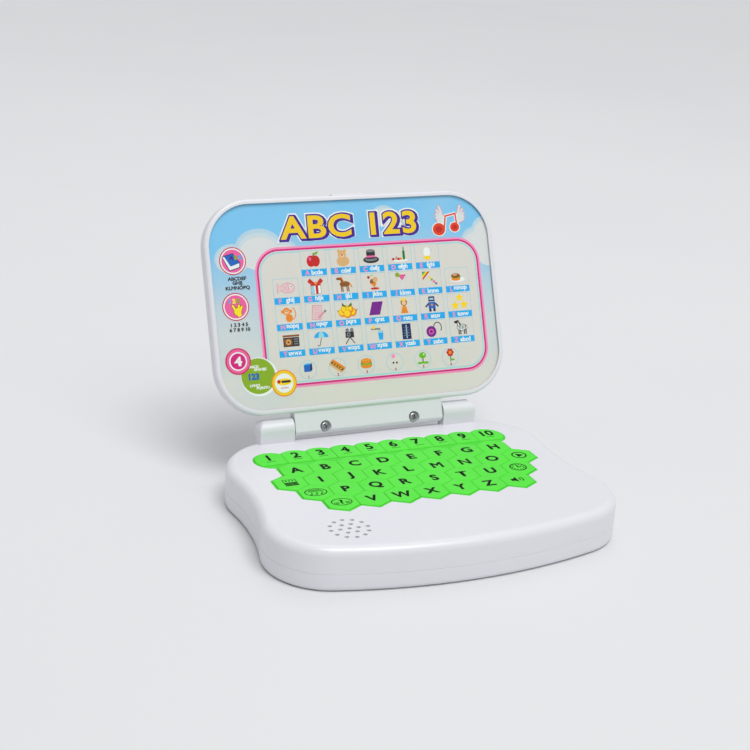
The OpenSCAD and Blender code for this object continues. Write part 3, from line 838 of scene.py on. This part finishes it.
WHITE_INK = srgb(240, 242, 240)
CREAM = srgb(221, 217, 211)
CLOUD = srgb(221, 222, 222)
CLOUD_FOLD = srgb(208, 219, 224)
CLOUD_EDGE = srgb(193, 216, 228)
PALE_BLUE = srgb(172, 208, 222)
LABEL_BLUE = srgb(24, 172, 238)
BLUE = srgb(38, 104, 190)
NAVY = srgb(34, 44, 96)
TURQUOISE = srgb(172, 216, 224)
PINK = srgb(240, 134, 178)
HOT_PINK = srgb(214, 48, 132)
SOFT_PINK = srgb(248, 168, 200)
ROSE = srgb(222, 164, 178)
PALE_ROSE = srgb(232, 206, 208)
RED = srgb(202, 42, 36)
CRIMSON = srgb(204, 58, 84)
VERMILION = srgb(228, 78, 52)
ORANGE = srgb(238, 140, 36)
YELLOW = srgb(252, 216, 40)
GOLD = srgb(245, 203, 6)
LEMON = srgb(250, 232, 110)
LIME = srgb(138, 174, 4)
GREEN = srgb(112, 188, 48)
DARK_GREEN = srgb(44, 120, 48)
BROWN = srgb(142, 86, 42)
TAN = srgb(222, 184, 140)
SKIN = srgb(244, 206, 170)
PURPLE = srgb(122, 42, 140)
VIOLET = srgb(74, 48, 146)
GREY = srgb(124, 128, 134)
INK_BLACK = srgb(34, 32, 34)

CELL_PITCH = 18.78
CELL_W = 16.3
CELL_H = 15.2
CELL_BORDER = 0.3
LABEL_H = 3.9
LABEL_TEXT = 3.8
FIRST_CELL_X = -45.6
LABEL_ROWS = (80.1, 64.3, 48.6, 32.9)
PICTURE_RISE = 5.6
PICTURE_SCALE = 1.14
# Each layer of print is this thick, and each part starts above the layers of what lies under it.
# The highest reaches level 44, which is 0.18 mm, so it fits in the room left under the window.
INK_LAYER = 0.004 * MM
NOTES_LEVEL = 13
FRAME_LEVEL = 19
BADGE_LEVEL = 24
CELL_LEVEL = 24
PICTURE_LEVEL = 27


def apple(art):
    art.discs(RED, (-1.3, 1.3), -0.7, 2.4, 3)
    art.disc(PINK, -1.7, 0.5, 0.7, 1)
    art.line(BROWN, 0, 1.4, 0.6, 3.6, 0.6)
    art.shape(GREEN, [(0.4, 2.6), (1.6, 4.1), (3.4, 4.2), (2.2, 2.7)])


def bear(art):
    art.disc(TAN, 0.3, -1.7, 3.6, 2.7)
    art.disc(TAN, 0, 1.9, 2.3)
    art.discs(TAN, (-1.7, 1.7), 3.7, 0.9)
    art.disc(SKIN, 0, 1.2, 1.2, 0.9)
    art.disc(INK_BLACK, 0, 1.6, 0.4)


def hat(art):
    art.disc(INK_BLACK, 0, -1.8, 4.6, 1.9)
    art.disc(GREY, 0, -1.5, 3.5, 1.1)
    art.bar(INK_BLACK, -2.5, -1.4, 2.5, 3)
    art.disc(GREY, 0, 3, 2.5, 0.8)
    art.bar(PINK, -2.5, -0.6, 2.5, 0.4)


def dinner(art):
    art.disc(WHITE_INK, 0.4, -3, 4.6, 0.9)
    art.bar(DARK_GREEN, 2, -2.8, 3.4, 2)
    art.bar(DARK_GREEN, 2.4, 2, 3, 4)
    art.discs(RED, (-3.6, -0.6), -2.3, 0.9, 0.7)
    art.line(BROWN, -2.2, -2.8, -1.6, -1, 0.5)
    art.disc(ORANGE, 0.8, -2.3, 0.7)


def egg(art):
    for side in (-1, 1):
        art.shape(PALE_BLUE, [(side * 1.5, 0), (side * 4.2, 3.6), (side * 2.6, 0.8)])
    art.disc(WHITE_INK, 0, 0.4, 2, 2.7)
    art.disc(YELLOW, 0, -2.6, 2, 1.1)


def fish(art):
    for inset, colour in ((0, ROSE), (0.35, PALE_ROSE)):
        art.shape(colour, [(-1.6 - inset, 0), (-5 + inset, 2.7 - inset), (-5 + inset, -2.7 + inset)])
        art.disc(colour, 0.8, 0, 4 - inset, 2.8 - inset)
    art.arc(ROSE, -1, 0, 2.4, 2.6, -50, 50, 0.35, 8)
    for x in (-0.9, -2):
        art.arc(ROSE, x, 0, 1.2, 1.2, -60, 60, 0.3, 6)
    art.disc(WHITE_INK, 2.7, 0.6, 0.8)
    art.disc(INK_BLACK, 2.8, 0.6, 0.35)


def gift(art):
    art.bar(GREY, -2.9, -4.3, 2.9, 0.6)
    art.bar(PALE_BLUE, -2.7, -4.1, -0.8, 0.6)
    art.bar(WHITE_INK, -0.8, -4.1, 2.7, 0.6)
    art.bar(RED, -0.1, -4.1, 1.3, 0.6)
    art.bar(RED, -2.9, 0.2, 2.9, 1.2)
    for side in (-1, 1):
        art.shape(RED, [(0.2, 1), (side * 3, 4.2), (side * 4.4, 2.6), (side * 3.4, 1.4)])
    art.disc(ORANGE, 0.2, 1.5, 0.8)


def horse(art):
    for x in (-2.2, -1.4, 1, 1.9):
        art.line(BROWN, x, -0.6, x + 0.2, -4, 0.6)
    art.disc(BROWN, 0, 0.1, 2.9, 1.5)
    art.shape(BROWN, [(-1.6, 0.4), (-3, 3.4), (-1.8, 3.8), (-0.4, 1.2)])
    art.disc(BROWN, -3.3, 3, 1.4, 0.7)
    art.line(ORANGE, -1.8, 3.9, -0.2, 1, 0.6)
    art.line(ORANGE, 2.6, 0.6, 4, -1.8, 0.7)


def ice_cream(art):
    art.disc(RED, 0.6, -3.4, 2.6, 0.6)
    art.disc(BROWN, -0.4, 0.2, 1.6)
    art.disc(TAN, 1.1, 1.3, 1.5)
    art.shape(ORANGE, [(-1.7, -0.4), (1.9, -0.4), (0.4, -3)])
    art.disc(RED, -2.6, 2.7, 0.8)
    art.line(GREEN, -2.4, 3.2, 0.4, 3.9, 0.3)


def juice(art):
    art.disc(CLOUD, 0.4, -3, 2, 0.6)
    art.line(CLOUD, 0.4, -2.8, 0.4, 0.6, 0.5)
    art.shape(HOT_PINK, [(-2, 3), (2.8, 3), (0.4, 0)])
    art.shape(PINK, [(-1.2, 2.6), (2, 2.6), (0.4, 0.6)])
    art.disc(LIME, -2.2, 3, 1.3)


def kite(art):
    for i, colour in enumerate((RED, YELLOW, GREEN, BLUE)):
        reach = 4.6 - 1.15 * i
        art.shape(colour, [(-4, 3.8), (-4 + reach, 3.8), (-4, 3.8 - reach)])
    for i, colour in enumerate((YELLOW, LIME, PINK, GREY)):
        art.disc(colour, 0.2 + 1.2 * i, 0.4 - 1.1 * i, 0.7)


def lunch(art):
    art.disc(WHITE_INK, 0.4, -1.6, 4.4, 1.4)
    art.disc(ORANGE, -0.6, -1.2, 2.8, 1.1)
    art.disc(GREEN, -0.4, -0.2, 3, 0.7)
    art.disc(BROWN, -0.6, 0.5, 2.7, 1.3)
    art.disc(TAN, -1, 1, 1.4, 0.5)


def monkey(art):
    art.arc(ORANGE, 2, 0.4, 1.9, 3, -90, 90, 0.5)
    art.disc(ORANGE, 0.2, -1.9, 1.9, 2.1)
    art.discs(ORANGE, (-3.2, 1.2), 1.6, 0.9)
    art.disc(ORANGE, -1, 1.6, 2)
    art.disc(SKIN, -1, 1.3, 1.3, 1.1)
    art.discs(INK_BLACK, (-1.5, -0.5), 1.7, 0.25)


def notebook(art):
    art.shape(ROSE, [(-4, -3.6), (1.4, -4), (2.4, 3.6), (-3, 4)])
    art.shape(PALE_ROSE, [(-3.6, -3.3), (1.1, -3.6), (2, 3.2), (-2.6, 3.6)])
    for i in range(5):
        art.line(ROSE, -2.6, -2.2 + 1.2 * i, 1, -2.5 + 1.2 * i, 0.25)
    art.line(ROSE, -0.2, -3, 4.4, 0.8, 1.1)
    art.line(GREY, 3.4, 0, 4.4, 0.8, 1.1)


def oranges(art):
    for side in (-1, 1):
        art.shape(DARK_GREEN, [(side * 3.6, -1), (side * 6, 0.4), (side * 4.4, -2.4)])
    for x, y in ((-2.9, -1.2), (2.9, -1.2), (-1.2, 0.4), (1.2, 0.4), (0, -2)):
        art.disc(ORANGE, x, y, 2.3)
        art.disc(YELLOW, x - 0.3, y + 0.3, 1.7)
    for side in (-1, 1):
        art.shape(DARK_GREEN, [(0, 1.2), (side * 2.6, 4), (side * 2.9, 2.4)])


def purple_square(art):
    art.shape(PURPLE, [(-4.2, -3.7), (2, -3.7), (4.3, 3.3), (-1.9, 3.3)])


def queen(art):
    art.shape(ORANGE, [(-2.2, -4), (2.2, -4), (0.8, 0.4), (-0.8, 0.4)])
    art.disc(BROWN, 0, 1.9, 1.9)
    art.disc(SKIN, 0, 1.6, 1.3)
    art.shape(YELLOW, [(-1.5, 2.8), (1.5, 2.8), (1.7, 4.3), (0.7, 3.5), (0, 4.5), (-0.7, 3.5), (-1.7, 4.3)])
    for side in (-1, 1):
        art.line(SKIN, side * 0.7, 0, side * 2.2, -1.4, 0.5)


def robot(art):
    for side in (-1, 1):
        art.line(NAVY, side * 2, 0.2, side * 3.8, -1.6, 0.9)
        art.bar(NAVY, side * 1.2 - 0.7, -4.2, side * 1.2 + 0.7, -2)
    art.bar(BLUE, -2.1, -2.4, 2.1, 1)
    art.bar(NAVY, -1.8, 1.3, 1.8, 4)
    art.bar(PALE_BLUE, -1.2, 2.1, 1.2, 3.2)
    art.disc(ORANGE, 0, -0.6, 0.7)


def stars(art):
    for x, y, size in ((-2.6, -2, 2.9), (2.8, -1.7, 2.8), (0.3, 2.2, 2.6)):
        art.star(YELLOW, x, y, size)


def telephone(art):
    art.bar(INK_BLACK, -4.4, -3, 4.4, 1.8)
    art.bar(BROWN, -3.9, -2.4, 0.6, 1.2)
    art.disc(TAN, -1.6, -0.6, 1.4)
    art.disc(BROWN, -1.6, -0.6, 0.7)
    art.bar(BROWN, -4.6, 2.1, 4.6, 3.1)
    for i in range(3):
        art.bar(GREY, 1.4, -2 + 1.2 * i, 3.8, -1.4 + 1.2 * i)


def umbrella(art):
    angles = [math.pi * i / 14 for i in range(15)]
    for reach, colour in ((4, LABEL_BLUE), (1.6, TURQUOISE)):
        art.shape(colour, ellipse(0.4, 0.4, reach, 3.2, angles))
    art.line(INK_BLACK, 0.4, 0.4, -0.6, -3.2, 0.35)
    art.arc(INK_BLACK, -1.3, -3.2, 0.7, 0.7, 180, 360, 0.35, 6)


def camera_set(art):
    for side in (-1, 1):
        art.line(INK_BLACK, 0, -0.6, side * 2.6, -4, 0.5)
    art.bar(INK_BLACK, -2.4, -0.8, 2.4, 2.4)
    art.disc(GREY, -0.6, 0.8, 1.1)
    art.disc(INK_BLACK, -0.6, 0.8, 0.5)
    art.discs(GREY, (-1.2, 1.4), 3.2, 1)


def water(art):
    art.shape(PALE_BLUE, [(-0.4, 1.6), (3, 1.6), (2.5, -3.4), (0.1, -3.4)])
    art.shape(LABEL_BLUE, [(-0.2, 0.4), (2.8, 0.4), (2.4, -3.2), (0.2, -3.2)])
    art.line(GREY, -4, 2.6, 0.6, 2.6, 0.9)
    art.line(GREY, 0.8, 3, 0.8, 1.9, 0.9)
    art.disc(YELLOW, -2.6, 3.4, 0.9)


def x_ray(art):
    art.bar(NAVY, -2.6, -4.2, 2.6, 4.2)
    art.bar(PALE_BLUE, -0.3, -3.6, 0.3, 3.6)
    for i in range(4):
        art.bar(GREY, -1.8 + 0.2 * i, -2.4 + 1.4 * i, 1.8 - 0.2 * i, -2 + 1.4 * i)


def yo_yo(art):
    art.arc(INK_BLACK, 2, 0.8, 2.3, 2.8, -40, 190, 0.5)
    art.disc(PURPLE, -1.9, -1.2, 3)
    art.disc(PINK, -1.9, -1.2, 1.5)
    art.disc(PURPLE, -1.9, -1.2, 0.9)


def zebra(art):
    for x in (-1.8, -0.8, 1.4, 2.4):
        art.line(INK_BLACK, x, -0.8, x, -4, 0.65)
    art.disc(INK_BLACK, 0.2, -0.2, 3.2, 1.8)
    art.disc(WHITE_INK, 0.2, -0.2, 2.9, 1.5)
    art.shape(INK_BLACK, [(-2, 0), (-3.4, 3.2), (-1.7, 3.9), (-0.2, 1)])
    art.shape(WHITE_INK, [(-1.6, 0.2), (-2.9, 3), (-1.8, 3.4), (-0.6, 1)])
    art.disc(INK_BLACK, -3.2, 2.8, 1.2, 0.7)
    for i in range(5):
        art.line(INK_BLACK, -1.6 + 0.9 * i, -1.1, -1.2 + 0.9 * i, 0.9, 0.4)
    art.line(INK_BLACK, -2.6, 3.8, -0.8, 1, 0.5)


PICTURES = ((apple, bear, hat, dinner, egg),
            (fish, gift, horse, ice_cream, juice, kite, lunch),
            (monkey, notebook, oranges, purple_square, queen, robot, stars),
            (telephone, umbrella, camera_set, water, x_ray, yo_yo, zebra))

ALPHABET = "abcdefghijklmnopqrstuvwxyzabcd"


def picture_cells(art):
    """A picture for every letter, each over a label with that letter and the next four."""
    letter = 0
    for row, (pictures, label_y) in enumerate(zip(PICTURES, LABEL_ROWS)):
        first = 1 if row == 0 else 0
        for column, picture in enumerate(pictures, first):
            x = FIRST_CELL_X + CELL_PITCH * column
            side, bottom = CELL_W / 2, -LABEL_H / 2
            inner = side - CELL_BORDER
            art.start(x, label_y, CELL_LEVEL)
            art.bar(PALE_BLUE, -side, bottom, side, bottom + CELL_H)
            art.bar(CREAM, -inner, bottom, inner, bottom + CELL_H - CELL_BORDER)
            art.bar(LABEL_BLUE, -side, bottom, side, LABEL_H / 2)
            art.text(SOFT_PINK, ALPHABET[letter].upper(), -4.4, 0, LABEL_TEXT, 0.16)
            art.text(WHITE_INK, ALPHABET[letter + 1:letter + 5], 1.8, 0, LABEL_TEXT, 0.14)
            art.start(x, label_y + LABEL_H / 2 + PICTURE_RISE, PICTURE_LEVEL, PICTURE_SCALE)
            picture(art)
            letter += 1


def cube(art):
    art.bar(BLUE, -2, -1.6, 1.2, 1.6)
    art.shape(NAVY, [(1.2, -1.6), (2.2, -0.8), (2.2, 2.4), (1.2, 1.6)])
    art.shape(LABEL_BLUE, [(-2, 1.6), (1.2, 1.6), (2.2, 2.4), (-1, 2.4)])


def hot_dog(art):
    for offset, colour, width in ((0.6, ORANGE, 1.8), (-0.6, TAN, 1.8), (0, BROWN, 1.3)):
        art.line(colour, -2.6 + offset, 1.7 + offset, 2.4 + offset, -1.9 + offset, width)
        for side in (-1, 1):
            art.disc(colour, -0.1 + 2.5 * side + offset, -0.1 - 1.8 * side + offset, width / 2)
    for i in range(4):
        art.disc(YELLOW, -1.9 + 1.2 * i, 1.2 - 0.86 * i, 0.35)


def burger(art):
    art.disc(ORANGE, 0, -1.2, 3, 1.3)
    art.bar(GREEN, -3, -0.8, 3, -0.1)
    art.bar(BROWN, -2.8, -0.1, 2.8, 0.6)
    art.disc(ORANGE, 0, 1.1, 2.8, 1.3)
    art.discs(LEMON, (-1.2, 0, 1.2), 1.5, 0.25)


def dots(art):
    art.disc(SOFT_PINK, -0.6, 2.2, 1)
    art.discs(INK_BLACK, (-0.8, 1), -1, 0.5)


def sprout(art):
    art.line(DARK_GREEN, 0, -2.6, 0, 0.6, 0.6)
    for side in (-1, 1):
        art.disc(GREEN, side * 1.5, -2.3, 1.6, 0.6)
    art.disc(GREEN, 0, 1.4, 1.9, 1.5)
    art.disc(WHITE_INK, 0.7, 1.8, 0.4)


def flower(art):
    art.line(DARK_GREEN, 0, -3, 0, 0.6, 0.5)
    art.disc(GREEN, 1.1, -2, 1.1, 0.5)
    for petal in ellipse(0, 1.6, 1.2, 1.2, whole_turn(6)):
        art.disc(RED, *petal, 0.8)
    art.disc(ORANGE, 0, 1.6, 0.9)


def picture_circles(art):
    """The row of round pictures under the letters, each with its number."""
    first_x, pitch, y, radius = -36.8, 18.84, 22.5, 5.6
    for i, picture in enumerate((cube, hot_dog, burger, dots, sprout, flower)):
        art.start(first_x + pitch * i, y, CELL_LEVEL)
        art.disc(PALE_BLUE, 0, 0, radius, steps=40)
        art.disc(CREAM, 0, 0, radius - 0.35, steps=40)
        art.text(RED, str(i + 1), 0, -4.3, 2.2, 0.1)
        art.start(first_x + pitch * i, y + 0.8, PICTURE_LEVEL, 1.25)
        picture(art)


def within_card(x, y):
    """The nearest place that is inside the card's rounded outline, a little in from its edge."""
    margin = 0.4
    corner = SHEET_R / MM - margin
    reach_x = CARD_HIGH.x / MM - margin - corner
    top = (CARD_HIGH.y - CARD_LOW.y) / MM - margin - corner
    core = Vector((max(-reach_x, min(reach_x, x)), max(margin + corner, min(top, y))))
    out = Vector((x, y)) - core
    return core + out * min(1, corner / max(out.length, 1e-6))


def cloud(art, colour, x, y, size_x, size_y):
    """A disc that stops at the card's edge."""
    outline = [within_card(*point) for point in ellipse(x, y, size_x, size_y, whole_turn(44))]
    art.shape(colour, [p for i, p in enumerate(outline) if (p - outline[i - 1]).length > 0.01])


def clouds(art):
    """Banks of round clouds behind everything else, each paler from its edge inwards."""
    banks = (((-77, 91, 11), (-60, 96, 15), (-47, 92, 12)),
             ((84, 94, 11), (91, 101, 10), (77, 89, 8), (91, 86, 10)),
             ((22, 112, 8), (30, 110, 6)))
    shrink, sink, squash = 0.09, 0.1, 0.8
    for bank in banks:
        art.start(0, 0)
        for step, tone in enumerate((CLOUD_EDGE, CLOUD_FOLD, CLOUD)):
            for x, y, size in bank:
                reach = (1 - shrink * step) * size
                cloud(art, tone, x, y - sink * step * size, reach, squash * reach)


def pink_frame(art):
    """The rounded frame round all the pictures, in bands from the outside in."""
    low, high, radius = Vector((-64, 12.6)), Vector((84.1, 96.3)), 15.3
    art.start(0, 0, FRAME_LEVEL)
    for inset, colour in ((0, SOFT_PINK), (1.2, HOT_PINK), (2.3, CREAM), (2.9, TURQUOISE), (3.7, CREAM)):
        step = Vector((inset, inset))
        art.shape(colour, rounded_rectangle(low + step, high - step, radius - inset))


def title(art):
    art.start(-1.5, 107.4, FRAME_LEVEL)
    layers = (2.2, 0, WHITE_INK), (1.5, 0.5, VIOLET), (1.4, 0, VIOLET), (0.5, 0, GOLD)
    for border, shadow, colour in layers:
        art.text(colour, "ABC 123", shadow, -shadow, 18.5, 0, (1.2, 1), border)


def winged_notes(art):
    """Two joined notes with a white border and a pair of wings."""
    art.start(65.3, 107, NOTES_LEVEL)
    wing_y, feather_w, stroke_w = -1.7, 1.5, 1
    for border, colour in ((0.35, ROSE), (0, CLOUD)):
        for side in (-1, 1):
            root = 1.3 + 4.1 * side
            for i in range(5):
                a = math.radians(90 - side * (12 + 13 * i))
                reach = 10.6 - 1.6 * i
                tip = root + 0.8 * side + reach * math.cos(a), wing_y + reach * math.sin(a)
                art.finger(colour, root, wing_y, *tip, feather_w + 2 * border)
    heads = (-7.1, -5.2, 4.2), (3.8, -4.3, 3.15)
    strokes = (-3.4, -4.8, -2, 2.9), (5.4, -3.2, 4.9, 4.4), (-2.4, 2.7, 5.3, 4.2)
    for border, colour in ((0.6, WHITE_INK), (0, VERMILION)):
        for x, y, size in heads:
            art.disc(colour, x, y, size + border, 0.92 * size + border)
        for stroke in strokes:
            art.line(colour, *stroke, stroke_w + 2 * border)
    for x, y, size in heads:
        art.disc(RED, x, y, 0.55 * size, 0.45 * size)


PINK_RINGS = (8.2, CRIMSON), (7.6, WHITE_INK), (6.8, PINK)


def badge(art, x, y, level, *rings):
    """Round marks one on another, largest first. What is drawn next is measured from their middle."""
    art.start(x, y, level)
    for radius, colour in rings:
        art.disc(colour, 0, 0, radius, steps=48)


def captions(art, ink, size, lines):
    """Short lines of plain letters or digits, each given with its place."""
    for words, x, y in lines:
        art.text(ink, words, x, y, size, 0.1, (1.1, 1))


def book_badge(art):
    badge(art, -77, 89.7, BADGE_LEVEL, *PINK_RINGS)
    art.shape(NAVY, [(-6.5, 2.6), (-5.2, 3.3), (0.4, 4.7), (4.6, -1.4), (4.2, -4.1), (-2.4, -5.9)])
    art.shape(WHITE_INK, [(-6, 2.4), (-5, 2.9), (-1.5, -3.1), (4, -1.4), (3.8, -3.7), (-2.1, -5.3)])
    art.shape(BLUE, [(-5, 2.9), (0.3, 4.3), (4, -1.4), (-1.5, -3.1)])
    for i, (letter, colour) in enumerate(zip("ABC", (VIOLET, LIME, LABEL_BLUE))):
        art.text(colour, letter, -0.6 + 2.7 * i, 2, 3, 0.3)
    captions(art, INK_BLACK, 2.8, (("ABCDEF", 1.6, -10.4), ("GHIJ", 1.6, -13.2), ("KLMNOPQ", 1.6, -16)))


def hand_badge(art):
    badge(art, -77.8, 62.9, BADGE_LEVEL, *PINK_RINGS)
    for i, (digit, colour) in enumerate(zip("123", (LABEL_BLUE, LEMON, LIME))):
        art.text(colour, digit, -3.4 + 2.6 * i, 3.4, 3.4, 0.3)
    for border, colour in ((0.35, BROWN), (0, LEMON)):
        art.disc(colour, 1, -3, 2.2 + border)
        for knuckle, tip in ((-0.2, -1.8), (1.4, 2), (2.4, 3.6)):
            art.finger(colour, knuckle, -2.6, tip, 1.6 - 0.5 * abs(tip), 1.3 + 2 * border)
        art.line(colour, 1.2, -3.4, 2.2, -5.6, 2.6 + 2 * border)
    captions(art, INK_BLACK, 2.8, (("1 2 3 4 5", 1.2, -10.6), ("6 7 8 9 10", 1.2, -13.5)))


def lime_badge(art):
    badge(art, -67.5, 20.9, BADGE_LEVEL, (11.4, WHITE_INK))
    art.disc(LIME, -0.6, 0.5, 10.5, steps=48)
    captions(art, WHITE_INK, 2, (("ABCD", -2.8, 6.2), ("EFGHIJK", 1.2, 4.2), ("LMNO", -3.2, -4.8),
                                 ("PQRSTU", 1.6, -6.6)))
    art.text(BLUE, "123", -3.4, 0.4, 4.8, 0.3)


def number_badge(art):
    rings = (7.8, CRIMSON), (7.1, PINK), (5.5, WHITE_INK), (4.7, HOT_PINK)
    badge(art, -79.6, 31, BADGE_LEVEL + 2, *rings)
    art.text(WHITE_INK, "4", 0, 0, 7.2, 0.3, (1.15, 1))


def pill_badge(art):
    badge(art, -52.6, 16, BADGE_LEVEL + 2, (7.9, ORANGE), (7.3, GOLD), (5.7, WHITE_INK))
    art.disc(YELLOW, 0.2, 0.7, 4.8, 2, 32)
    art.disc(RED, -3.2, 1, 1.1)
    art.bar(INK_BLACK, -1.6, 0.1, 4, 1.5)
    art.bar(ROSE, -2.2, -3.2, 2.6, -2.6)


def make_artwork():
    art = Artwork(CARD_HIGH.z, INK_LAYER, (0, CARD_LOW.y))
    for part in (clouds, pink_frame, title, winged_notes, book_badge, hand_badge, lime_badge, number_badge,
                 pill_badge, picture_cells, picture_circles):
        part(art)
    add_piece("card_artwork", mesh_of(art.solid, "artwork"), [PRINT], "lid", LID)


make_artwork()


# ---------------- stage, light and camera


def footprint(node, shrink):
    """The outer outline of a node's lowest face, brought in towards its middle, and that middle."""
    low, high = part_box(node)
    middle = (low + high).xy / 2
    lowest = [v.co.xy - middle for v in cad_mesh(node).vertices if v.co.z < low.z + 0.1 * MM]
    polar = sorted({(round(math.atan2(arm.y, arm.x), 3), round(arm.length, 5)) for arm in lowest})
    outline = {}
    for angle, reach in polar:
        if reach > 0.95 * max(r for a, r in polar if abs(a - angle) < 0.1):
            outline[angle] = middle + shrink * reach * Vector((math.cos(angle), math.sin(angle)))
    return list(outline.values()), middle


def make_floor():
    """A wide floor with an opening where the toy stands, so that light reaches its underside."""
    solid = bmesh.new()
    reach, drop = 9, 0.1 * MM
    inner, middle = footprint("base_bottom_cover", 0.97)
    outer = [middle + (p - middle).normalized() * reach for p in inner]
    loops = [[solid.verts.new((p.x, p.y, -drop)) for p in ring] for ring in (inner, outer)]
    for i, corner in enumerate(loops[0]):
        j = (i + 1) % len(inner)
        solid.faces.new((corner, loops[0][j], loops[1][j], loops[1][i]))
    mesh = mesh_of(solid, "floor")
    paper = Material("floor_paper", Roughness=0.7)
    patches = paper.between(paper.noise(0.4), 0, 1)
    paper.colour(paper.mix(patches, (0.7, 0.71, 0.72, 1), (0.72, 0.72, 0.73, 1)))
    mesh.materials.append(paper.data)
    put_in_scene("floor", mesh)


def add_light(name, place, target, size, power):
    """A square softbox that faces a target."""
    lamp = bpy.data.lights.new(name, "AREA")
    lamp.size = size
    lamp.energy = power
    holder = put_in_scene(name, lamp)
    holder.location = place
    holder.rotation_euler = (Vector(target) - Vector(place)).to_track_quat("-Z", "Y").to_euler()


def add_sun(towards, strength, spread):
    """A far, soft light, so that the floor is as bright far off as it is near."""
    lamp = bpy.data.lights.new("sky_light", "SUN")
    lamp.energy = strength
    lamp.angle = math.radians(spread)
    holder = put_in_scene("sky_light", lamp)
    holder.rotation_euler = Vector(towards).to_track_quat("Z", "Y").to_euler()


def add_world(strength):
    world = bpy.data.worlds.new("studio")
    world.use_nodes = True
    background = world.node_tree.nodes["Background"]
    background.inputs["Color"].default_value = (0.96, 0.98, 1, 1)
    background.inputs["Strength"].default_value = strength
    bpy.context.scene.world = world


def add_camera(target, heading, elevation, roll, distance, lens):
    """A camera on a target. The heading turns from +Y towards +X, and the roll lifts the right side."""
    h, e, r = (math.radians(angle) for angle in (heading, elevation, roll))
    forward = Vector((math.sin(h) * math.cos(e), math.cos(h) * math.cos(e), -math.sin(e)))
    level_right = Vector((math.cos(h), -math.sin(h), 0))
    level_up = level_right.cross(forward)
    right = level_right * math.cos(r) + level_up * math.sin(r)
    up = right.cross(forward)
    data = bpy.data.cameras.new("camera")
    data.lens = lens
    data.sensor_width = 36
    data.clip_start = 0.05
    camera = put_in_scene("camera", data)
    turn = Matrix((right, up, -forward)).transposed().to_4x4()
    camera.matrix_world = Matrix.Translation(Vector(target) - forward * distance) @ turn
    bpy.context.scene.camera = camera


make_floor()
add_world(0.5)
add_sun((0.05, -0.4, 1), 1.5, 35)
add_light("key_light", (0.3, -1.1, 1.6), (0, 0, 0.05), 0.9, 5)
add_light("top_light", (0.3, 0.7, 1.5), (0, 0, 0.05), 1.0, 3)
add_light("low_light", (0.2, -0.4, -0.9), (0, 0, 0), 0.6, 3)
add_camera((-0.0251, 0.0135, 0.0852), 24.53, 20.07, 3.53, 0.843, 73.2)

bpy.context.scene.view_settings.view_transform = "Standard"
